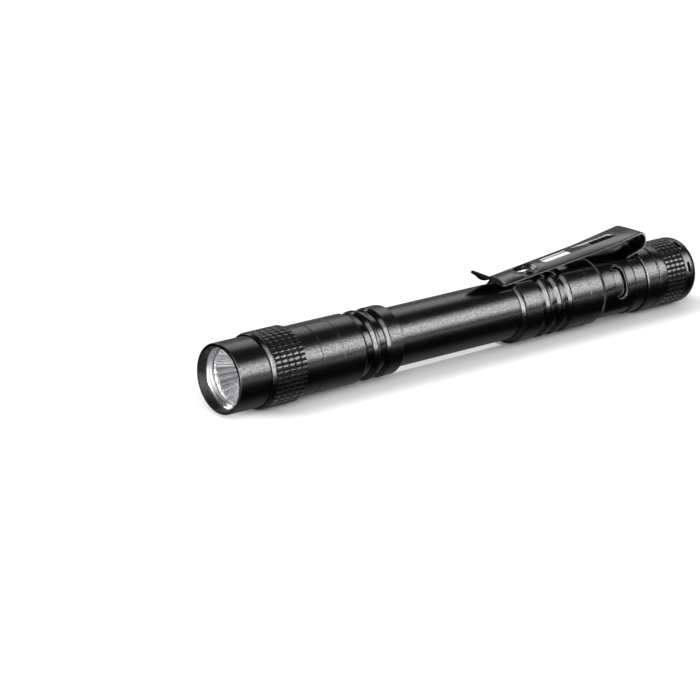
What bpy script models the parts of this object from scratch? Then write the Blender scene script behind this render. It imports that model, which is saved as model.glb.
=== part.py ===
"""Slim penlight with an ultraviolet emitter, two AAA cells and a turning pocket clip.

The light lies along X with its lens towards -X and its clip up. Every station is the
distance from the front lip along the light's own axis, towards the tail. The master
empty stands at the front lip with its +Z along that axis and its -X towards the clip.
"""
import math

import bmesh
import bpy
from mathutils import Matrix, Vector

MM = 0.001

# Running fits
CLEARANCE = 0.3 * MM
SEAM = 0.15 * MM
SEAL_GAP = 0.12 * MM

# Cells, which set the bore and the length of the tube
CELL_R = 5.2 * MM
CELL_LENGTH = 44.5 * MM
CELL_NUB_R = 1.9 * MM
CELL_NUB_LENGTH = 0.9 * MM

# Lengths that can be seen from outside, front to back
BEZEL_LENGTH = 21.9 * MM
HEAD_LENGTH = 22.2 * MM
CAP_LENGTH = 16.1 * MM

# Walls and steps that give the outer radii
TUBE_WALL = 1.0 * MM
THREAD_WALL = 0.8 * MM
SHELL_WALL = 1.0 * MM
BEZEL_WALL = 0.75 * MM
BEZEL_LIP_WALL = 0.72 * MM
KNURL_RISE = 0.6 * MM
GROOVE_DEPTH = 0.6 * MM
HAIRLINE_DEPTH = 0.15 * MM
HAIRLINE_WIDTH = 0.24 * MM
EDGE_BREAK = 0.3 * MM

# Knurled bands
KNURL_START = 8.05 * MM
KNURL_LAND = 0.95 * MM
KNURL_LENGTH = 8.2 * MM
KNURL_TEETH = 44
CAP_KNURL_START = 6.4 * MM
CAP_KNURL_LENGTH = 5.9 * MM
CAP_TEETH = 40
FLUTE_DEPTH = 0.36 * MM

# Turned grooves and fine lines, each from the front of its own piece
GROOVE_FALL = 0.6 * MM
GROOVE_RISE = 0.95 * MM
HEAD_GROOVES_START = 11.45 * MM
HEAD_GROOVE_FLOOR = 1.6 * MM
HEAD_GROOVE_PITCH = 3.7 * MM
HEAD_GROOVE_COUNT = 2
HEAD_LINE = 5.6 * MM
TUBE_COLLAR_LENGTH = 4.9 * MM
TUBE_GROOVE_FLOOR = 0.8 * MM
TUBE_GROOVE_PITCH = 3.35 * MM
TUBE_GROOVE_COUNT = 3
TUBE_LAND_LENGTH = 9.45 * MM
TUBE_LINE_SETBACK = 3.8 * MM
CAP_LINE = 3.8 * MM
GRIP_CHAMFER = 0.6 * MM
GRIP_CHAMFER_DEPTH = 0.48 * MM

# Threads, drawn plain
HEAD_THREAD_LENGTH = 5.7 * MM
CAP_THREAD_LENGTH = 6.3 * MM
SEAL_WIRE_R = 0.28 * MM
SEAL_SEAT_LENGTH = 1.0 * MM
SEAL_SEAT_OFFSET = 0.6 * MM

# Lens, reflector and emitter
LENS_RECESS = 2.0 * MM
LENS_RING_LENGTH = 0.8 * MM
LENS_RING_WALL = 0.5 * MM
LENS_THICKNESS = 1.2 * MM
LENS_SEAL_WIRE_R = 0.35 * MM
REFLECTOR_RIM = 0.8 * MM
REFLECTOR_DEPTH = 7.2 * MM
REFLECTOR_WALL = 0.7 * MM
REFLECTOR_HOLE_R = 1.75 * MM
GASKET_THICKNESS = 0.4 * MM
GASKET_HOLE_R = 2.4 * MM
LED_BASE_SIDE = 3.0 * MM
LED_BASE_THICKNESS = 0.6 * MM
LED_DOME_R = 1.2 * MM
BOARD_THICKNESS = 1.0 * MM
DRIVER_RECESS = 0.5 * MM
PILL_FLANGE = 0.8 * MM
PILL_PLATE = 1.8 * MM
PILL_LENGTH = 10.2 * MM
PILL_WALL = 0.8 * MM
PILL_SOCKET_WALL = 0.75 * MM
LEAD_R = 0.35 * MM
LEAD_SPREAD = 3.0 * MM
CONTACT_R = 1.6 * MM
CONTACT_LENGTH = 0.9 * MM

# Switch, button and tail end
CAP_WALL = 1.7 * MM
END_WALL = 1.8 * MM
BUTTON_HOLE_R = 4.2 * MM
BUTTON_FLANGE = 0.8 * MM
BUTTON_LIP = 0.6 * MM
BUTTON_RECESS = 0.6 * MM
BUTTON_TRAVEL = 1.0 * MM
BUTTON_DOME = 0.3 * MM
PLUNGER_R = 1.5 * MM
PLUNGER_SEAT = 0.7 * MM
SWITCH_SIDE = 7.4 * MM
SWITCH_BOARD_THICKNESS = 0.8 * MM
LOCK_RING_LENGTH = 0.7 * MM
LOCK_RING_WALL = 2.2 * MM
SPRING_SPACE = 8.9 * MM
SPRING_WIRE_R = 0.3 * MM
SPRING_WIDE_R = 3.2 * MM
SPRING_NARROW_R = 2.1 * MM
SPRING_TURNS = 5
RIM_ROUND = 2.0 * MM
LANYARD_WIDTH = 1.1 * MM
LANYARD_SETBACK = 2.9 * MM
LANYARD_BRIDGE = 0.6 * MM
LANYARD_TUNNEL = 0.55 * MM
LANYARD_ANGLES = (26.0, 72.0)
LANYARD_OPENING = 22.0

# Spring clip
CLIP_THICKNESS = 0.6 * MM
CLIP_SEAT_DEPTH = 0.65 * MM
CLIP_BAND_WIDTH = 9.8 * MM
CLIP_SEAT_RELIEF = 0.7 * MM
CLIP_REAR_LAND = 3.3 * MM
CLIP_REAR_DEPTH = 0.4 * MM
CLIP_WRAP = math.radians(120)
CLIP_NECK = math.radians(30)
CLIP_NECK_RUN = 4.8 * MM
CLIP_NECK_RISE = 0.75 * MM
CLIP_BEND_R = 1.8 * MM
CLIP_STRAP_LENGTH = 43.4 * MM
CLIP_STRAP_SLOPE = math.radians(5.7)
CLIP_STRAP_CAMBER_R = 8.6 * MM
CLIP_TIP_WIDTH = 7.0 * MM
CLIP_FOLD_R = 1.5 * MM
CLIP_FOLD_ANGLE = math.radians(52)
CLIP_LIP_LENGTH = 3.4 * MM
CLIP_LIP_END_WIDTH = 3.0 * MM
CLIP_SPLIT_GAP = 0.36 * MM
CLIP_SLOT_WIDTH = 2.5 * MM
CLIP_SLOT_LENGTH = 22.5 * MM
CLIP_SLOT_SETBACK = 4.6 * MM
CLIP_HOLE_R = 1.8 * MM
CLIP_HOLE_SETBACK = 32.1 * MM
WING_SLOT_WIDTH = 3.4 * MM
WING_SLOT_SETBACK = 3.6 * MM
WING_SLOT_ANGLES = (39.5, 98.5)

# Facets round a turned piece
OUTER_FACETS = 32
INNER_FACETS = 24

# Radii that follow from the sizes above
CELL_BORE_R = CELL_R + CLEARANCE
GRIP_R = CELL_BORE_R + TUBE_WALL
THREAD_R = CELL_BORE_R + THREAD_WALL
THREAD_BORE_R = THREAD_R + CLEARANCE
COLLAR_R = THREAD_BORE_R + SHELL_WALL
GROOVE_R = COLLAR_R - GROOVE_DEPTH
KNURL_R = COLLAR_R + KNURL_RISE
BEZEL_BORE_R = COLLAR_R - BEZEL_WALL
BEZEL_R = BEZEL_BORE_R + BEZEL_LIP_WALL
STACK_R = BEZEL_BORE_R - CLEARANCE
SEAL_SEAT_R = THREAD_R - SEAL_WIRE_R - SEAL_GAP
SEAL_BORE_R = SEAL_SEAT_R + 2 * (SEAL_WIRE_R + SEAL_GAP)
REFLECTOR_MOUTH_R = STACK_R - REFLECTOR_WALL
PILL_R = STACK_R - PILL_SOCKET_WALL - CLEARANCE
PILL_BORE_R = PILL_R - PILL_WALL
CAVITY_R = COLLAR_R - CAP_WALL
BUTTON_FLANGE_R = BUTTON_HOLE_R + BUTTON_LIP
CLIP_SEAT_R = COLLAR_R - CLIP_SEAT_DEPTH
CLIP_R = CLIP_SEAT_R + CLEARANCE + CLIP_THICKNESS / 2
AXIS_HEIGHT = KNURL_R * math.cos(math.pi / OUTER_FACETS)

# Stations of the stack inside the head, each behind the one before
LENS_START = LENS_RECESS + LENS_RING_LENGTH + CLEARANCE
LENS_SEAL_START = LENS_START + LENS_THICKNESS + CLEARANCE
REFLECTOR_START = LENS_SEAL_START + 2 * LENS_SEAL_WIRE_R + CLEARANCE
GASKET_START = REFLECTOR_START + REFLECTOR_DEPTH + CLEARANCE
LED_BOARD_START = GASKET_START + GASKET_THICKNESS + CLEARANCE
PILL_START = LED_BOARD_START + BOARD_THICKNESS + CLEARANCE
SPIGOT_START = PILL_START + PILL_FLANGE + CLEARANCE
DRIVER_START = PILL_START + PILL_LENGTH - DRIVER_RECESS - BOARD_THICKNESS
CONTACT_START = DRIVER_START + BOARD_THICKNESS + CLEARANCE
CELLS_START = CONTACT_START + CONTACT_LENGTH + CLEARANCE
REAR_CELL_START = CELLS_START + CELL_LENGTH + CLEARANCE
CELLS_END = REAR_CELL_START + CELL_LENGTH

# Stations inside the tail cap, from the cap's own front
SWITCH_STACK_START = CAP_THREAD_LENGTH + CLEARANCE
SWITCH_BOARD_START = SWITCH_STACK_START + LOCK_RING_LENGTH + CLEARANCE
SWITCH_START = SWITCH_BOARD_START + SWITCH_BOARD_THICKNESS + CLEARANCE
BUTTON_START = CAP_LENGTH - END_WALL - CLEARANCE - BUTTON_FLANGE
SWITCH_LENGTH = BUTTON_START - BUTTON_TRAVEL - CLEARANCE - SWITCH_START
PLUNGER_START = SWITCH_START + SWITCH_LENGTH - PLUNGER_SEAT
PLUNGER_LENGTH = BUTTON_START - CLEARANCE - PLUNGER_START

# Stations of the outer pieces: the cells and their spring place the tail cap
HEAD_START = BEZEL_LENGTH
TUBE_START = HEAD_START + HEAD_LENGTH
CAP_START = CELLS_END + SPRING_SPACE - SWITCH_BOARD_START
TUBE_LENGTH = CAP_START - TUBE_START
LENGTH = CAP_START + CAP_LENGTH
CLIP_SEAT_LENGTH = CLEARANCE + CLIP_BAND_WIDTH + CLIP_SEAT_RELIEF
CLIP_SEAT_START = TUBE_LENGTH - CLIP_REAR_LAND - CLIP_SEAT_LENGTH
CLIP_START = TUBE_START + CLIP_SEAT_START + CLEARANCE
TUBE_GROOVE_LENGTH = GROOVE_FALL + TUBE_GROOVE_FLOOR + GROOVE_RISE
TUBE_GROOVES_LENGTH = (TUBE_GROOVE_COUNT - 1) * TUBE_GROOVE_PITCH + TUBE_GROOVE_LENGTH
TUBE_GROOVES_START = CLIP_SEAT_START - TUBE_LAND_LENGTH - TUBE_GROOVES_LENGTH
GRIP_LENGTH = TUBE_GROOVES_START - TUBE_COLLAR_LENGTH - GRIP_CHAMFER


def clear_scene():
    for thing in list(bpy.data.objects):
        bpy.data.objects.remove(thing, do_unlink=True)


def new_collection(name):
    collection = bpy.data.collections.new(name)
    bpy.context.scene.collection.children.link(collection)
    return collection


def new_material(name, colour, metallic, roughness, alpha=1.0):
    material = bpy.data.materials.new(name)
    material.use_nodes = True
    shader = material.node_tree.nodes["Principled BSDF"]
    shader.inputs["Base Color"].default_value = (*colour, 1.0)
    shader.inputs["Metallic"].default_value = metallic
    shader.inputs["Roughness"].default_value = roughness
    shader.inputs["Alpha"].default_value = alpha
    return material


def new_empty(name, parent, location):
    empty = bpy.data.objects.new(name, None)
    empty.empty_display_size = COLLAR_R
    empty.location = location
    empty.parent = parent
    light.objects.link(empty)
    return empty


def new_part(name, data, material, parent, station):
    """Place a sub-part on its parent, its own datum at the given station along the axis."""
    part = bpy.data.objects.new(name, data)
    part.data.materials.append(material)
    part.parent = parent
    part.location = (0.0, 0.0, station)
    light.objects.link(part)
    return part


def mesh_from(bm, name):
    bm.normal_update()
    bmesh.ops.recalc_face_normals(bm, faces=bm.faces)
    mesh = bpy.data.meshes.new(name)
    bm.to_mesh(mesh)
    bm.free()
    mesh.shade_smooth()
    mesh.set_sharp_from_angle(angle=math.radians(30))
    return mesh


def new_cutter(name, bm, parent, matrix):
    """A cutter in the parent's own axes, kept out of the model."""
    cutter = bpy.data.objects.new(name, mesh_from(bm, name))
    cutter.parent = parent
    cutter.matrix_local = matrix
    cutter.hide_render = True
    cutter.display_type = "WIRE"
    cutters.objects.link(cutter)
    return cutter


def boolean(part, cutter, operation="DIFFERENCE"):
    modifier = part.modifiers.new(cutter.name, "BOOLEAN")
    modifier.operation = operation
    modifier.object = cutter
    modifier.solver = "EXACT"


def turn(part, facets):
    """Revolve a profile about the part's Z, one flat facet facing straight down."""
    part.rotation_euler.z = math.pi / facets
    screw = part.modifiers.new("turned", "SCREW")
    screw.axis = "Z"
    screw.angle = math.tau
    screw.steps = facets
    screw.render_steps = facets
    screw.use_merge_vertices = True
    screw.merge_threshold = 0.00001
    screw.use_smooth_shade = True


def profile_mesh(name, points, closed):
    bm = bmesh.new()
    corners = [bm.verts.new((radius, 0.0, station)) for station, radius in points]
    for near, far in zip(corners, corners[1:]):
        bm.edges.new((near, far))
    if closed:
        bm.edges.new((corners[-1], corners[0]))
    mesh = bpy.data.meshes.new(name)
    bm.to_mesh(mesh)
    bm.free()
    return mesh


def turned_ring(name, outer, inner, material, parent, station, facets=OUTER_FACETS):
    """A hollow turned piece. Both outlines are (station, radius) from front to back."""
    points = list(reversed(outer)) + list(inner)
    part = new_part(name, profile_mesh(name, points, True), material, parent, station)
    turn(part, facets)
    return part


def turned_solid(name, outer, material, parent, station, facets=INNER_FACETS):
    """A solid turned piece, closed on its axis at both ends."""
    points = [(outer[-1][0], 0.0)] + list(reversed(outer)) + [(outer[0][0], 0.0)]
    part = new_part(name, profile_mesh(name, points, False), material, parent, station)
    turn(part, facets)
    return part


def grooves(start, floor, pitch, count):
    """Turned grooves whose rear wall is the long bright bevel that faces the lens."""
    points = []
    for index in range(count):
        edge = start + index * pitch
        points.append((edge, COLLAR_R))
        points.append((edge + GROOVE_FALL, GROOVE_R))
        points.append((edge + GROOVE_FALL + floor, GROOVE_R))
        points.append((edge + GROOVE_FALL + floor + GROOVE_RISE, COLLAR_R))
    return points


def hairline(station):
    half = HAIRLINE_WIDTH / 2
    return [
        (station - half, COLLAR_R),
        (station, COLLAR_R - HAIRLINE_DEPTH),
        (station + half, COLLAR_R),
    ]


def flutes(name, teeth, radius, start, length, parent):
    """A ring of three-sided bars that cut V flutes along a knurled band."""
    bm = bmesh.new()
    bar_r = 2 * FLUTE_DEPTH
    distance = radius - FLUTE_DEPTH + bar_r
    for index in range(teeth):
        about_axis = Matrix.Rotation((index + 0.5) * math.tau / teeth, 4, "Z")
        outwards = Matrix.Translation((distance, 0.0, start + length / 2))
        point_in = Matrix.Rotation(math.pi / 2, 4, "Z")
        bmesh.ops.create_cone(
            bm, cap_ends=True, segments=3, radius1=bar_r, radius2=bar_r, depth=length,
            matrix=about_axis @ outwards @ point_in,
        )
    return new_cutter(name, bm, parent, Matrix.Identity(4))


def ring_sector(bm, inner_r, outer_r, start, width, first_angle, last_angle):
    """A curved bar about the axis. Angles are degrees from the clip side, towards -Y."""
    steps = max(2, round((last_angle - first_angle) / 10))
    corners = []
    for radius, station in (
        (inner_r, start), (outer_r, start), (outer_r, start + width), (inner_r, start + width),
    ):
        corners.append(bm.verts.new(on_ring(radius, first_angle, station)))
    face = bm.faces.new(corners)
    bmesh.ops.spin(
        bm, geom=[face, *face.edges, *face.verts], cent=(0.0, 0.0, 0.0), axis=(0.0, 0.0, 1.0),
        angle=math.radians(last_angle - first_angle), steps=steps, use_duplicate=False,
    )


def on_ring(radius, degrees, station):
    angle = math.radians(degrees)
    return Vector((-radius * math.cos(angle), -radius * math.sin(angle), station))


def radial_bar(bm, width_along, width_round, inner_r, outer_r, degrees, station, facets):
    """A bar that points out from the axis: round for many facets, a box for four."""
    outwards = on_ring(1.0, degrees, 0.0)
    middle = on_ring((inner_r + outer_r) / 2, degrees, station)
    turn_out = outwards.to_track_quat("Z", "Y").to_matrix().to_4x4()
    if facets == 4:
        size = Matrix.Diagonal((width_round, width_along, outer_r - inner_r, 1.0))
        along = Vector((0.0, 0.0, 1.0))
        across = along.cross(outwards)
        turn_out = Matrix((across, along, outwards)).transposed().to_4x4()
        bmesh.ops.create_cube(bm, size=1.0, matrix=Matrix.Translation(middle) @ turn_out @ size)
    else:
        bmesh.ops.create_cone(
            bm, cap_ends=True, segments=facets, radius1=width_along / 2, radius2=width_along / 2,
            depth=outer_r - inner_r, matrix=Matrix.Translation(middle) @ turn_out,
        )


def make_bezel_ring(parent):
    knurl_end = KNURL_START + KNURL_LAND + KNURL_LENGTH
    outer = [
        (0.0, BEZEL_R - EDGE_BREAK),
        (EDGE_BREAK, BEZEL_R),
        (KNURL_START, BEZEL_R),
        (KNURL_START, KNURL_R - EDGE_BREAK),
        (KNURL_START + EDGE_BREAK, KNURL_R),
        (knurl_end, KNURL_R),
        (knurl_end + EDGE_BREAK, COLLAR_R),
        (BEZEL_LENGTH, COLLAR_R),
    ]
    inner = [(0.0, BEZEL_BORE_R), (BEZEL_LENGTH, BEZEL_BORE_R)]
    bezel = turned_ring("bezel_ring", outer, inner, anodised, parent, 0.0)
    start = KNURL_START + KNURL_LAND
    boolean(bezel, flutes("bezel_flutes", KNURL_TEETH, KNURL_R, start, KNURL_LENGTH, parent))


def make_lens_ring(parent):
    outer = [(0.0, STACK_R), (LENS_RING_LENGTH, STACK_R)]
    inner_r = STACK_R - LENS_RING_WALL
    inner = [(0.0, inner_r), (LENS_RING_LENGTH, inner_r)]
    turned_ring("lens_ring", outer, inner, polished, parent, LENS_RECESS)


def make_front_lens(parent):
    outer = [(0.0, STACK_R), (LENS_THICKNESS, STACK_R)]
    turned_solid("front_lens", outer, glass, parent, LENS_START, OUTER_FACETS)


def make_ring_seal(name, wire_r, middle_r, material, parent, station):
    """A rubber ring of round section, its front at the given station."""
    bpy.ops.mesh.primitive_torus_add(
        major_segments=INNER_FACETS, minor_segments=8, major_radius=middle_r, minor_radius=wire_r,
    )
    torus = bpy.context.object
    mesh = torus.data
    bpy.data.objects.remove(torus)
    seal = new_part(name, mesh, material, parent, station + wire_r)
    seal.rotation_euler.z = math.pi / INNER_FACETS
    mesh.shade_smooth()


def make_reflector(parent):
    """A bowl that follows a parabola from its mouth down to the emitter's hole."""
    focus = REFLECTOR_MOUTH_R ** 2 / (4 * REFLECTOR_DEPTH)
    neck_r = REFLECTOR_HOLE_R + REFLECTOR_WALL
    bowl = []
    bowl_steps = 7
    for step in range(bowl_steps + 1):
        radius = REFLECTOR_MOUTH_R + (REFLECTOR_HOLE_R - REFLECTOR_MOUTH_R) * step / bowl_steps
        depth = REFLECTOR_DEPTH - radius ** 2 / (4 * focus)
        bowl.append((depth, radius))
    inner = bowl + [(REFLECTOR_DEPTH, REFLECTOR_HOLE_R)]
    outer = [(0.0, STACK_R), (REFLECTOR_RIM, STACK_R)]
    for depth, radius in bowl[1:-1]:
        slope = radius / (2 * focus)
        square_on = REFLECTOR_WALL / math.hypot(slope, 1.0)
        outer.append((depth + square_on, radius + slope * square_on))
    outer.append((REFLECTOR_DEPTH, neck_r))
    turned_ring("reflector", outer, inner, mirror, parent, REFLECTOR_START, INNER_FACETS)


def make_led_gasket(parent):
    outer = [(0.0, STACK_R), (GASKET_THICKNESS, STACK_R)]
    inner = [(0.0, GASKET_HOLE_R), (GASKET_THICKNESS, GASKET_HOLE_R)]
    turned_ring("led_gasket", outer, inner, white_plastic, parent, GASKET_START, INNER_FACETS)


def make_led_emitter(parent):
    """The lens dome, turned, on its square ceramic base."""
    dome_steps = 5
    outer = []
    for step in range(1, dome_steps + 1):
        angle = step * math.pi / 2 / dome_steps
        outer.append((LED_DOME_R * (1 - math.cos(angle)), LED_DOME_R * math.sin(angle)))
    outer.append((LED_DOME_R + LED_BASE_THICKNESS / 2, LED_DOME_R))
    base_start = LED_BOARD_START - CLEARANCE - LED_BASE_THICKNESS
    emitter = turned_solid("led_emitter", outer, ceramic, parent, base_start - LED_DOME_R)
    base = bmesh.new()
    size = Matrix.Diagonal((LED_BASE_SIDE, LED_BASE_SIDE, LED_BASE_THICKNESS, 1.0))
    bmesh.ops.create_cube(base, size=1.0, matrix=size)
    place = Matrix.Translation((0.0, 0.0, base_start + LED_BASE_THICKNESS / 2))
    boolean(emitter, new_cutter("led_base", base, parent, place), "UNION")


def make_led_board(parent):
    outer = [(0.0, STACK_R), (BOARD_THICKNESS, STACK_R)]
    turned_solid("led_board", outer, board_white, parent, LED_BOARD_START)


def make_led_pill(parent):
    """A brass cup that carries the emitter board in front and the driver behind."""
    outer = [
        (0.0, STACK_R), (PILL_FLANGE, STACK_R), (PILL_FLANGE, PILL_R), (PILL_LENGTH, PILL_R),
        (PILL_LENGTH, PILL_BORE_R), (PILL_PLATE, PILL_BORE_R),
    ]
    pill = turned_solid("led_pill", outer, brass, parent, PILL_START)
    bm = bmesh.new()
    for side in (-1, 1):
        place = Matrix.Translation((0.0, side * LEAD_SPREAD, PILL_PLATE / 2))
        bmesh.ops.create_cone(
            bm, cap_ends=True, segments=12, radius1=LEAD_R + CLEARANCE,
            radius2=LEAD_R + CLEARANCE, depth=2 * PILL_PLATE, matrix=place,
        )
    boolean(pill, new_cutter("lead_holes", bm, parent, Matrix.Translation((0, 0, PILL_START))))


def make_leads(parent):
    """Two insulated wires from the driver up through the pill to the emitter board."""
    length = DRIVER_START - CLEARANCE - PILL_START
    for name, side, material in (("lead_positive", -1, red_wire), ("lead_negative", 1, black_wire)):
        curve = bpy.data.curves.new(name, "CURVE")
        curve.dimensions = "3D"
        curve.bevel_depth = LEAD_R
        curve.bevel_resolution = 2
        curve.use_fill_caps = True
        spline = curve.splines.new("POLY")
        spline.points.add(1)
        spline.points[0].co = (0.0, side * LEAD_SPREAD, 0.0, 1.0)
        spline.points[1].co = (0.0, side * LEAD_SPREAD, length, 1.0)
        new_part(name, curve, material, parent, PILL_START)


def make_driver(parent):
    board_r = PILL_BORE_R - CLEARANCE
    outer = [(0.0, board_r), (BOARD_THICKNESS, board_r)]
    turned_solid("driver_board", outer, board_green, parent, DRIVER_START)
    outer = [(0.0, CONTACT_R), (CONTACT_LENGTH, CONTACT_R)]
    turned_solid("driver_contact", outer, brass, parent, CONTACT_START)


def make_head_shell(parent):
    """The finned rear half of the head, with a spigot that carries the bezel and the pill."""
    rear_edge = HEAD_LENGTH - SEAM
    spigot = SPIGOT_START - HEAD_START
    pill_end = PILL_START + PILL_LENGTH + CLEARANCE - HEAD_START
    thread_start = HEAD_LENGTH - HEAD_THREAD_LENGTH - CLEARANCE
    seal_start = HEAD_LENGTH - SEAL_SEAT_OFFSET - SEAL_SEAT_LENGTH - CLEARANCE
    outer = [(spigot, STACK_R), (SEAM, STACK_R), (SEAM, COLLAR_R)]
    outer += hairline(HEAD_LINE)
    outer += grooves(
        HEAD_GROOVES_START, HEAD_GROOVE_FLOOR, HEAD_GROOVE_PITCH, HEAD_GROOVE_COUNT,
    )
    outer += [(rear_edge - EDGE_BREAK, COLLAR_R), (rear_edge, COLLAR_R - EDGE_BREAK)]
    inner = [
        (spigot, PILL_R + CLEARANCE), (pill_end, PILL_R + CLEARANCE), (pill_end, CELL_BORE_R),
        (thread_start, CELL_BORE_R), (thread_start, THREAD_BORE_R),
        (seal_start, THREAD_BORE_R), (seal_start, SEAL_BORE_R), (rear_edge, SEAL_BORE_R),
    ]
    turned_ring("head_shell", outer, inner, anodised, parent, HEAD_START)


def make_battery_tube(parent):
    """The grip tube: a thread at each end, three grooves and the seat for the clip."""
    step = GRIP_LENGTH + GRIP_CHAMFER
    seat_end = CLIP_SEAT_START + CLIP_SEAT_LENGTH
    rear_r = COLLAR_R - CLIP_REAR_DEPTH
    seal_front = -SEAL_SEAT_OFFSET - SEAL_SEAT_LENGTH
    shoulder = TUBE_LENGTH - SEAM
    seal_rear = TUBE_LENGTH + SEAL_SEAT_OFFSET
    outer = [
        (-HEAD_THREAD_LENGTH, THREAD_R), (seal_front, THREAD_R), (seal_front, SEAL_SEAT_R),
        (-SEAL_SEAT_OFFSET, SEAL_SEAT_R), (-SEAL_SEAT_OFFSET, THREAD_R),
        (SEAM, THREAD_R), (SEAM, GRIP_R), (GRIP_LENGTH, GRIP_R),
        (step, COLLAR_R - GRIP_CHAMFER_DEPTH), (step, COLLAR_R),
    ]
    outer += grooves(
        TUBE_GROOVES_START, TUBE_GROOVE_FLOOR, TUBE_GROOVE_PITCH, TUBE_GROOVE_COUNT,
    )
    outer += hairline(CLIP_SEAT_START - TUBE_LINE_SETBACK)
    outer += [
        (CLIP_SEAT_START, COLLAR_R), (CLIP_SEAT_START, CLIP_SEAT_R),
        (seat_end, CLIP_SEAT_R), (seat_end, rear_r), (shoulder, rear_r),
        (shoulder, THREAD_R), (seal_rear, THREAD_R), (seal_rear, SEAL_SEAT_R),
        (seal_rear + SEAL_SEAT_LENGTH, SEAL_SEAT_R), (seal_rear + SEAL_SEAT_LENGTH, THREAD_R),
        (TUBE_LENGTH + CAP_THREAD_LENGTH, THREAD_R),
    ]
    inner = [(outer[0][0], CELL_BORE_R), (outer[-1][0], CELL_BORE_R)]
    turned_ring("battery_tube", outer, inner, anodised, parent, TUBE_START)


def make_cells(parent):
    """Two AAA cells nose to tail, the raised end of each towards the lens."""
    outer = [
        (0.0, CELL_NUB_R), (CELL_NUB_LENGTH, CELL_NUB_R), (CELL_NUB_LENGTH, CELL_R),
        (CELL_LENGTH, CELL_R),
    ]
    for name, station in (("front_cell", CELLS_START), ("rear_cell", REAR_CELL_START)):
        turned_solid(name, outer, cell_wrap, parent, station)


def make_tube_seals(parent):
    middle_r = SEAL_SEAT_R + SEAL_GAP + SEAL_WIRE_R
    inset = (SEAL_SEAT_LENGTH - 2 * SEAL_WIRE_R) / 2
    head_seal = TUBE_START - SEAL_SEAT_OFFSET - SEAL_SEAT_LENGTH + inset
    tail_seal = CAP_START + SEAL_SEAT_OFFSET + inset
    make_ring_seal("head_o_ring", SEAL_WIRE_R, middle_r, black_rubber, parent, head_seal)
    make_ring_seal("tail_o_ring", SEAL_WIRE_R, middle_r, black_rubber, parent, tail_seal)
    lens_seal_r = STACK_R - LENS_SEAL_WIRE_R
    make_ring_seal(
        "lens_o_ring", LENS_SEAL_WIRE_R, lens_seal_r, clear_rubber, parent, LENS_SEAL_START,
    )


def make_tail_cap(parent):
    """The cap, with V flutes for grip and two lanyard openings joined under a bridge."""
    seal_end = SEAL_SEAT_OFFSET + SEAL_SEAT_LENGTH + CLEARANCE
    thread_end = SWITCH_BOARD_START - CLEARANCE / 2
    wall = CAP_LENGTH - END_WALL
    outer = [(0.0, COLLAR_R - EDGE_BREAK / 2), (EDGE_BREAK / 2, COLLAR_R)]
    outer += hairline(CAP_LINE)
    round_steps = 4
    for step in range(round_steps + 1):
        angle = step * math.radians(60) / round_steps
        station = CAP_LENGTH - RIM_ROUND + RIM_ROUND * math.sin(angle) / math.sin(math.radians(60))
        outer.append((station, COLLAR_R - RIM_ROUND * (1 - math.cos(angle))))
    inner = [
        (0.0, SEAL_BORE_R), (seal_end, SEAL_BORE_R), (seal_end, THREAD_BORE_R),
        (thread_end, THREAD_BORE_R), (thread_end, CAVITY_R), (wall, CAVITY_R),
        (wall, BUTTON_HOLE_R), (CAP_LENGTH, BUTTON_HOLE_R),
    ]
    cap = turned_ring("tail_cap", outer, inner, anodised, parent, 0.0)
    boolean(
        cap, flutes("cap_flutes", CAP_TEETH, COLLAR_R, CAP_KNURL_START, CAP_KNURL_LENGTH, parent)
    )
    station = CAP_LENGTH - LANYARD_SETBACK
    front = station - LANYARD_WIDTH / 2
    roof_r = COLLAR_R - LANYARD_BRIDGE
    floor_r = roof_r - LANYARD_TUNNEL
    half = LANYARD_OPENING / 2
    first, last = LANYARD_ANGLES
    tunnel = bmesh.new()
    ring_sector(tunnel, floor_r, roof_r, front, LANYARD_WIDTH, first - half, last + half)
    boolean(cap, new_cutter("lanyard_tunnel", tunnel, parent, Matrix.Identity(4)))
    for name, middle in (("lanyard_upper", first), ("lanyard_lower", last)):
        opening = bmesh.new()
        inner_r = (floor_r + roof_r) / 2
        outer_r = COLLAR_R + LANYARD_BRIDGE
        ring_sector(
            opening, inner_r, outer_r, front, LANYARD_WIDTH, middle - half, middle + half,
        )
        boolean(cap, new_cutter(name, opening, parent, Matrix.Identity(4)))


def make_switch(parent):
    """Everything that turns with the cap behind its locking ring, in the cap's own stations."""
    ring_r = THREAD_BORE_R - CLEARANCE
    outer = [(0.0, ring_r), (LOCK_RING_LENGTH, ring_r)]
    inner_r = ring_r - LOCK_RING_WALL
    inner = [(0.0, inner_r), (LOCK_RING_LENGTH, inner_r)]
    turned_ring("switch_lock_ring", outer, inner, brass, parent, SWITCH_STACK_START, INNER_FACETS)

    board_r = CAVITY_R - CLEARANCE
    outer = [(0.0, board_r), (SWITCH_BOARD_THICKNESS, board_r)]
    turned_solid("switch_board", outer, board_green, parent, SWITCH_BOARD_START)

    bm = bmesh.new()
    size = Matrix.Diagonal((SWITCH_SIDE, SWITCH_SIDE, SWITCH_LENGTH, 1.0))
    bmesh.ops.create_cube(bm, size=1.0, matrix=Matrix.Translation((0, 0, SWITCH_LENGTH / 2)) @ size)
    body = new_part("switch_body", mesh_from(bm, "switch_body"), dark_plastic, parent, SWITCH_START)
    well = bmesh.new()
    well_r = PLUNGER_R + CLEARANCE
    bmesh.ops.create_cone(
        well, cap_ends=True, segments=INNER_FACETS, radius1=well_r, radius2=well_r,
        depth=2 * (PLUNGER_SEAT + BUTTON_TRAVEL + CLEARANCE),
    )
    top = Matrix.Translation((0.0, 0.0, SWITCH_START + SWITCH_LENGTH))
    boolean(body, new_cutter("switch_well", well, parent, top))


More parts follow.
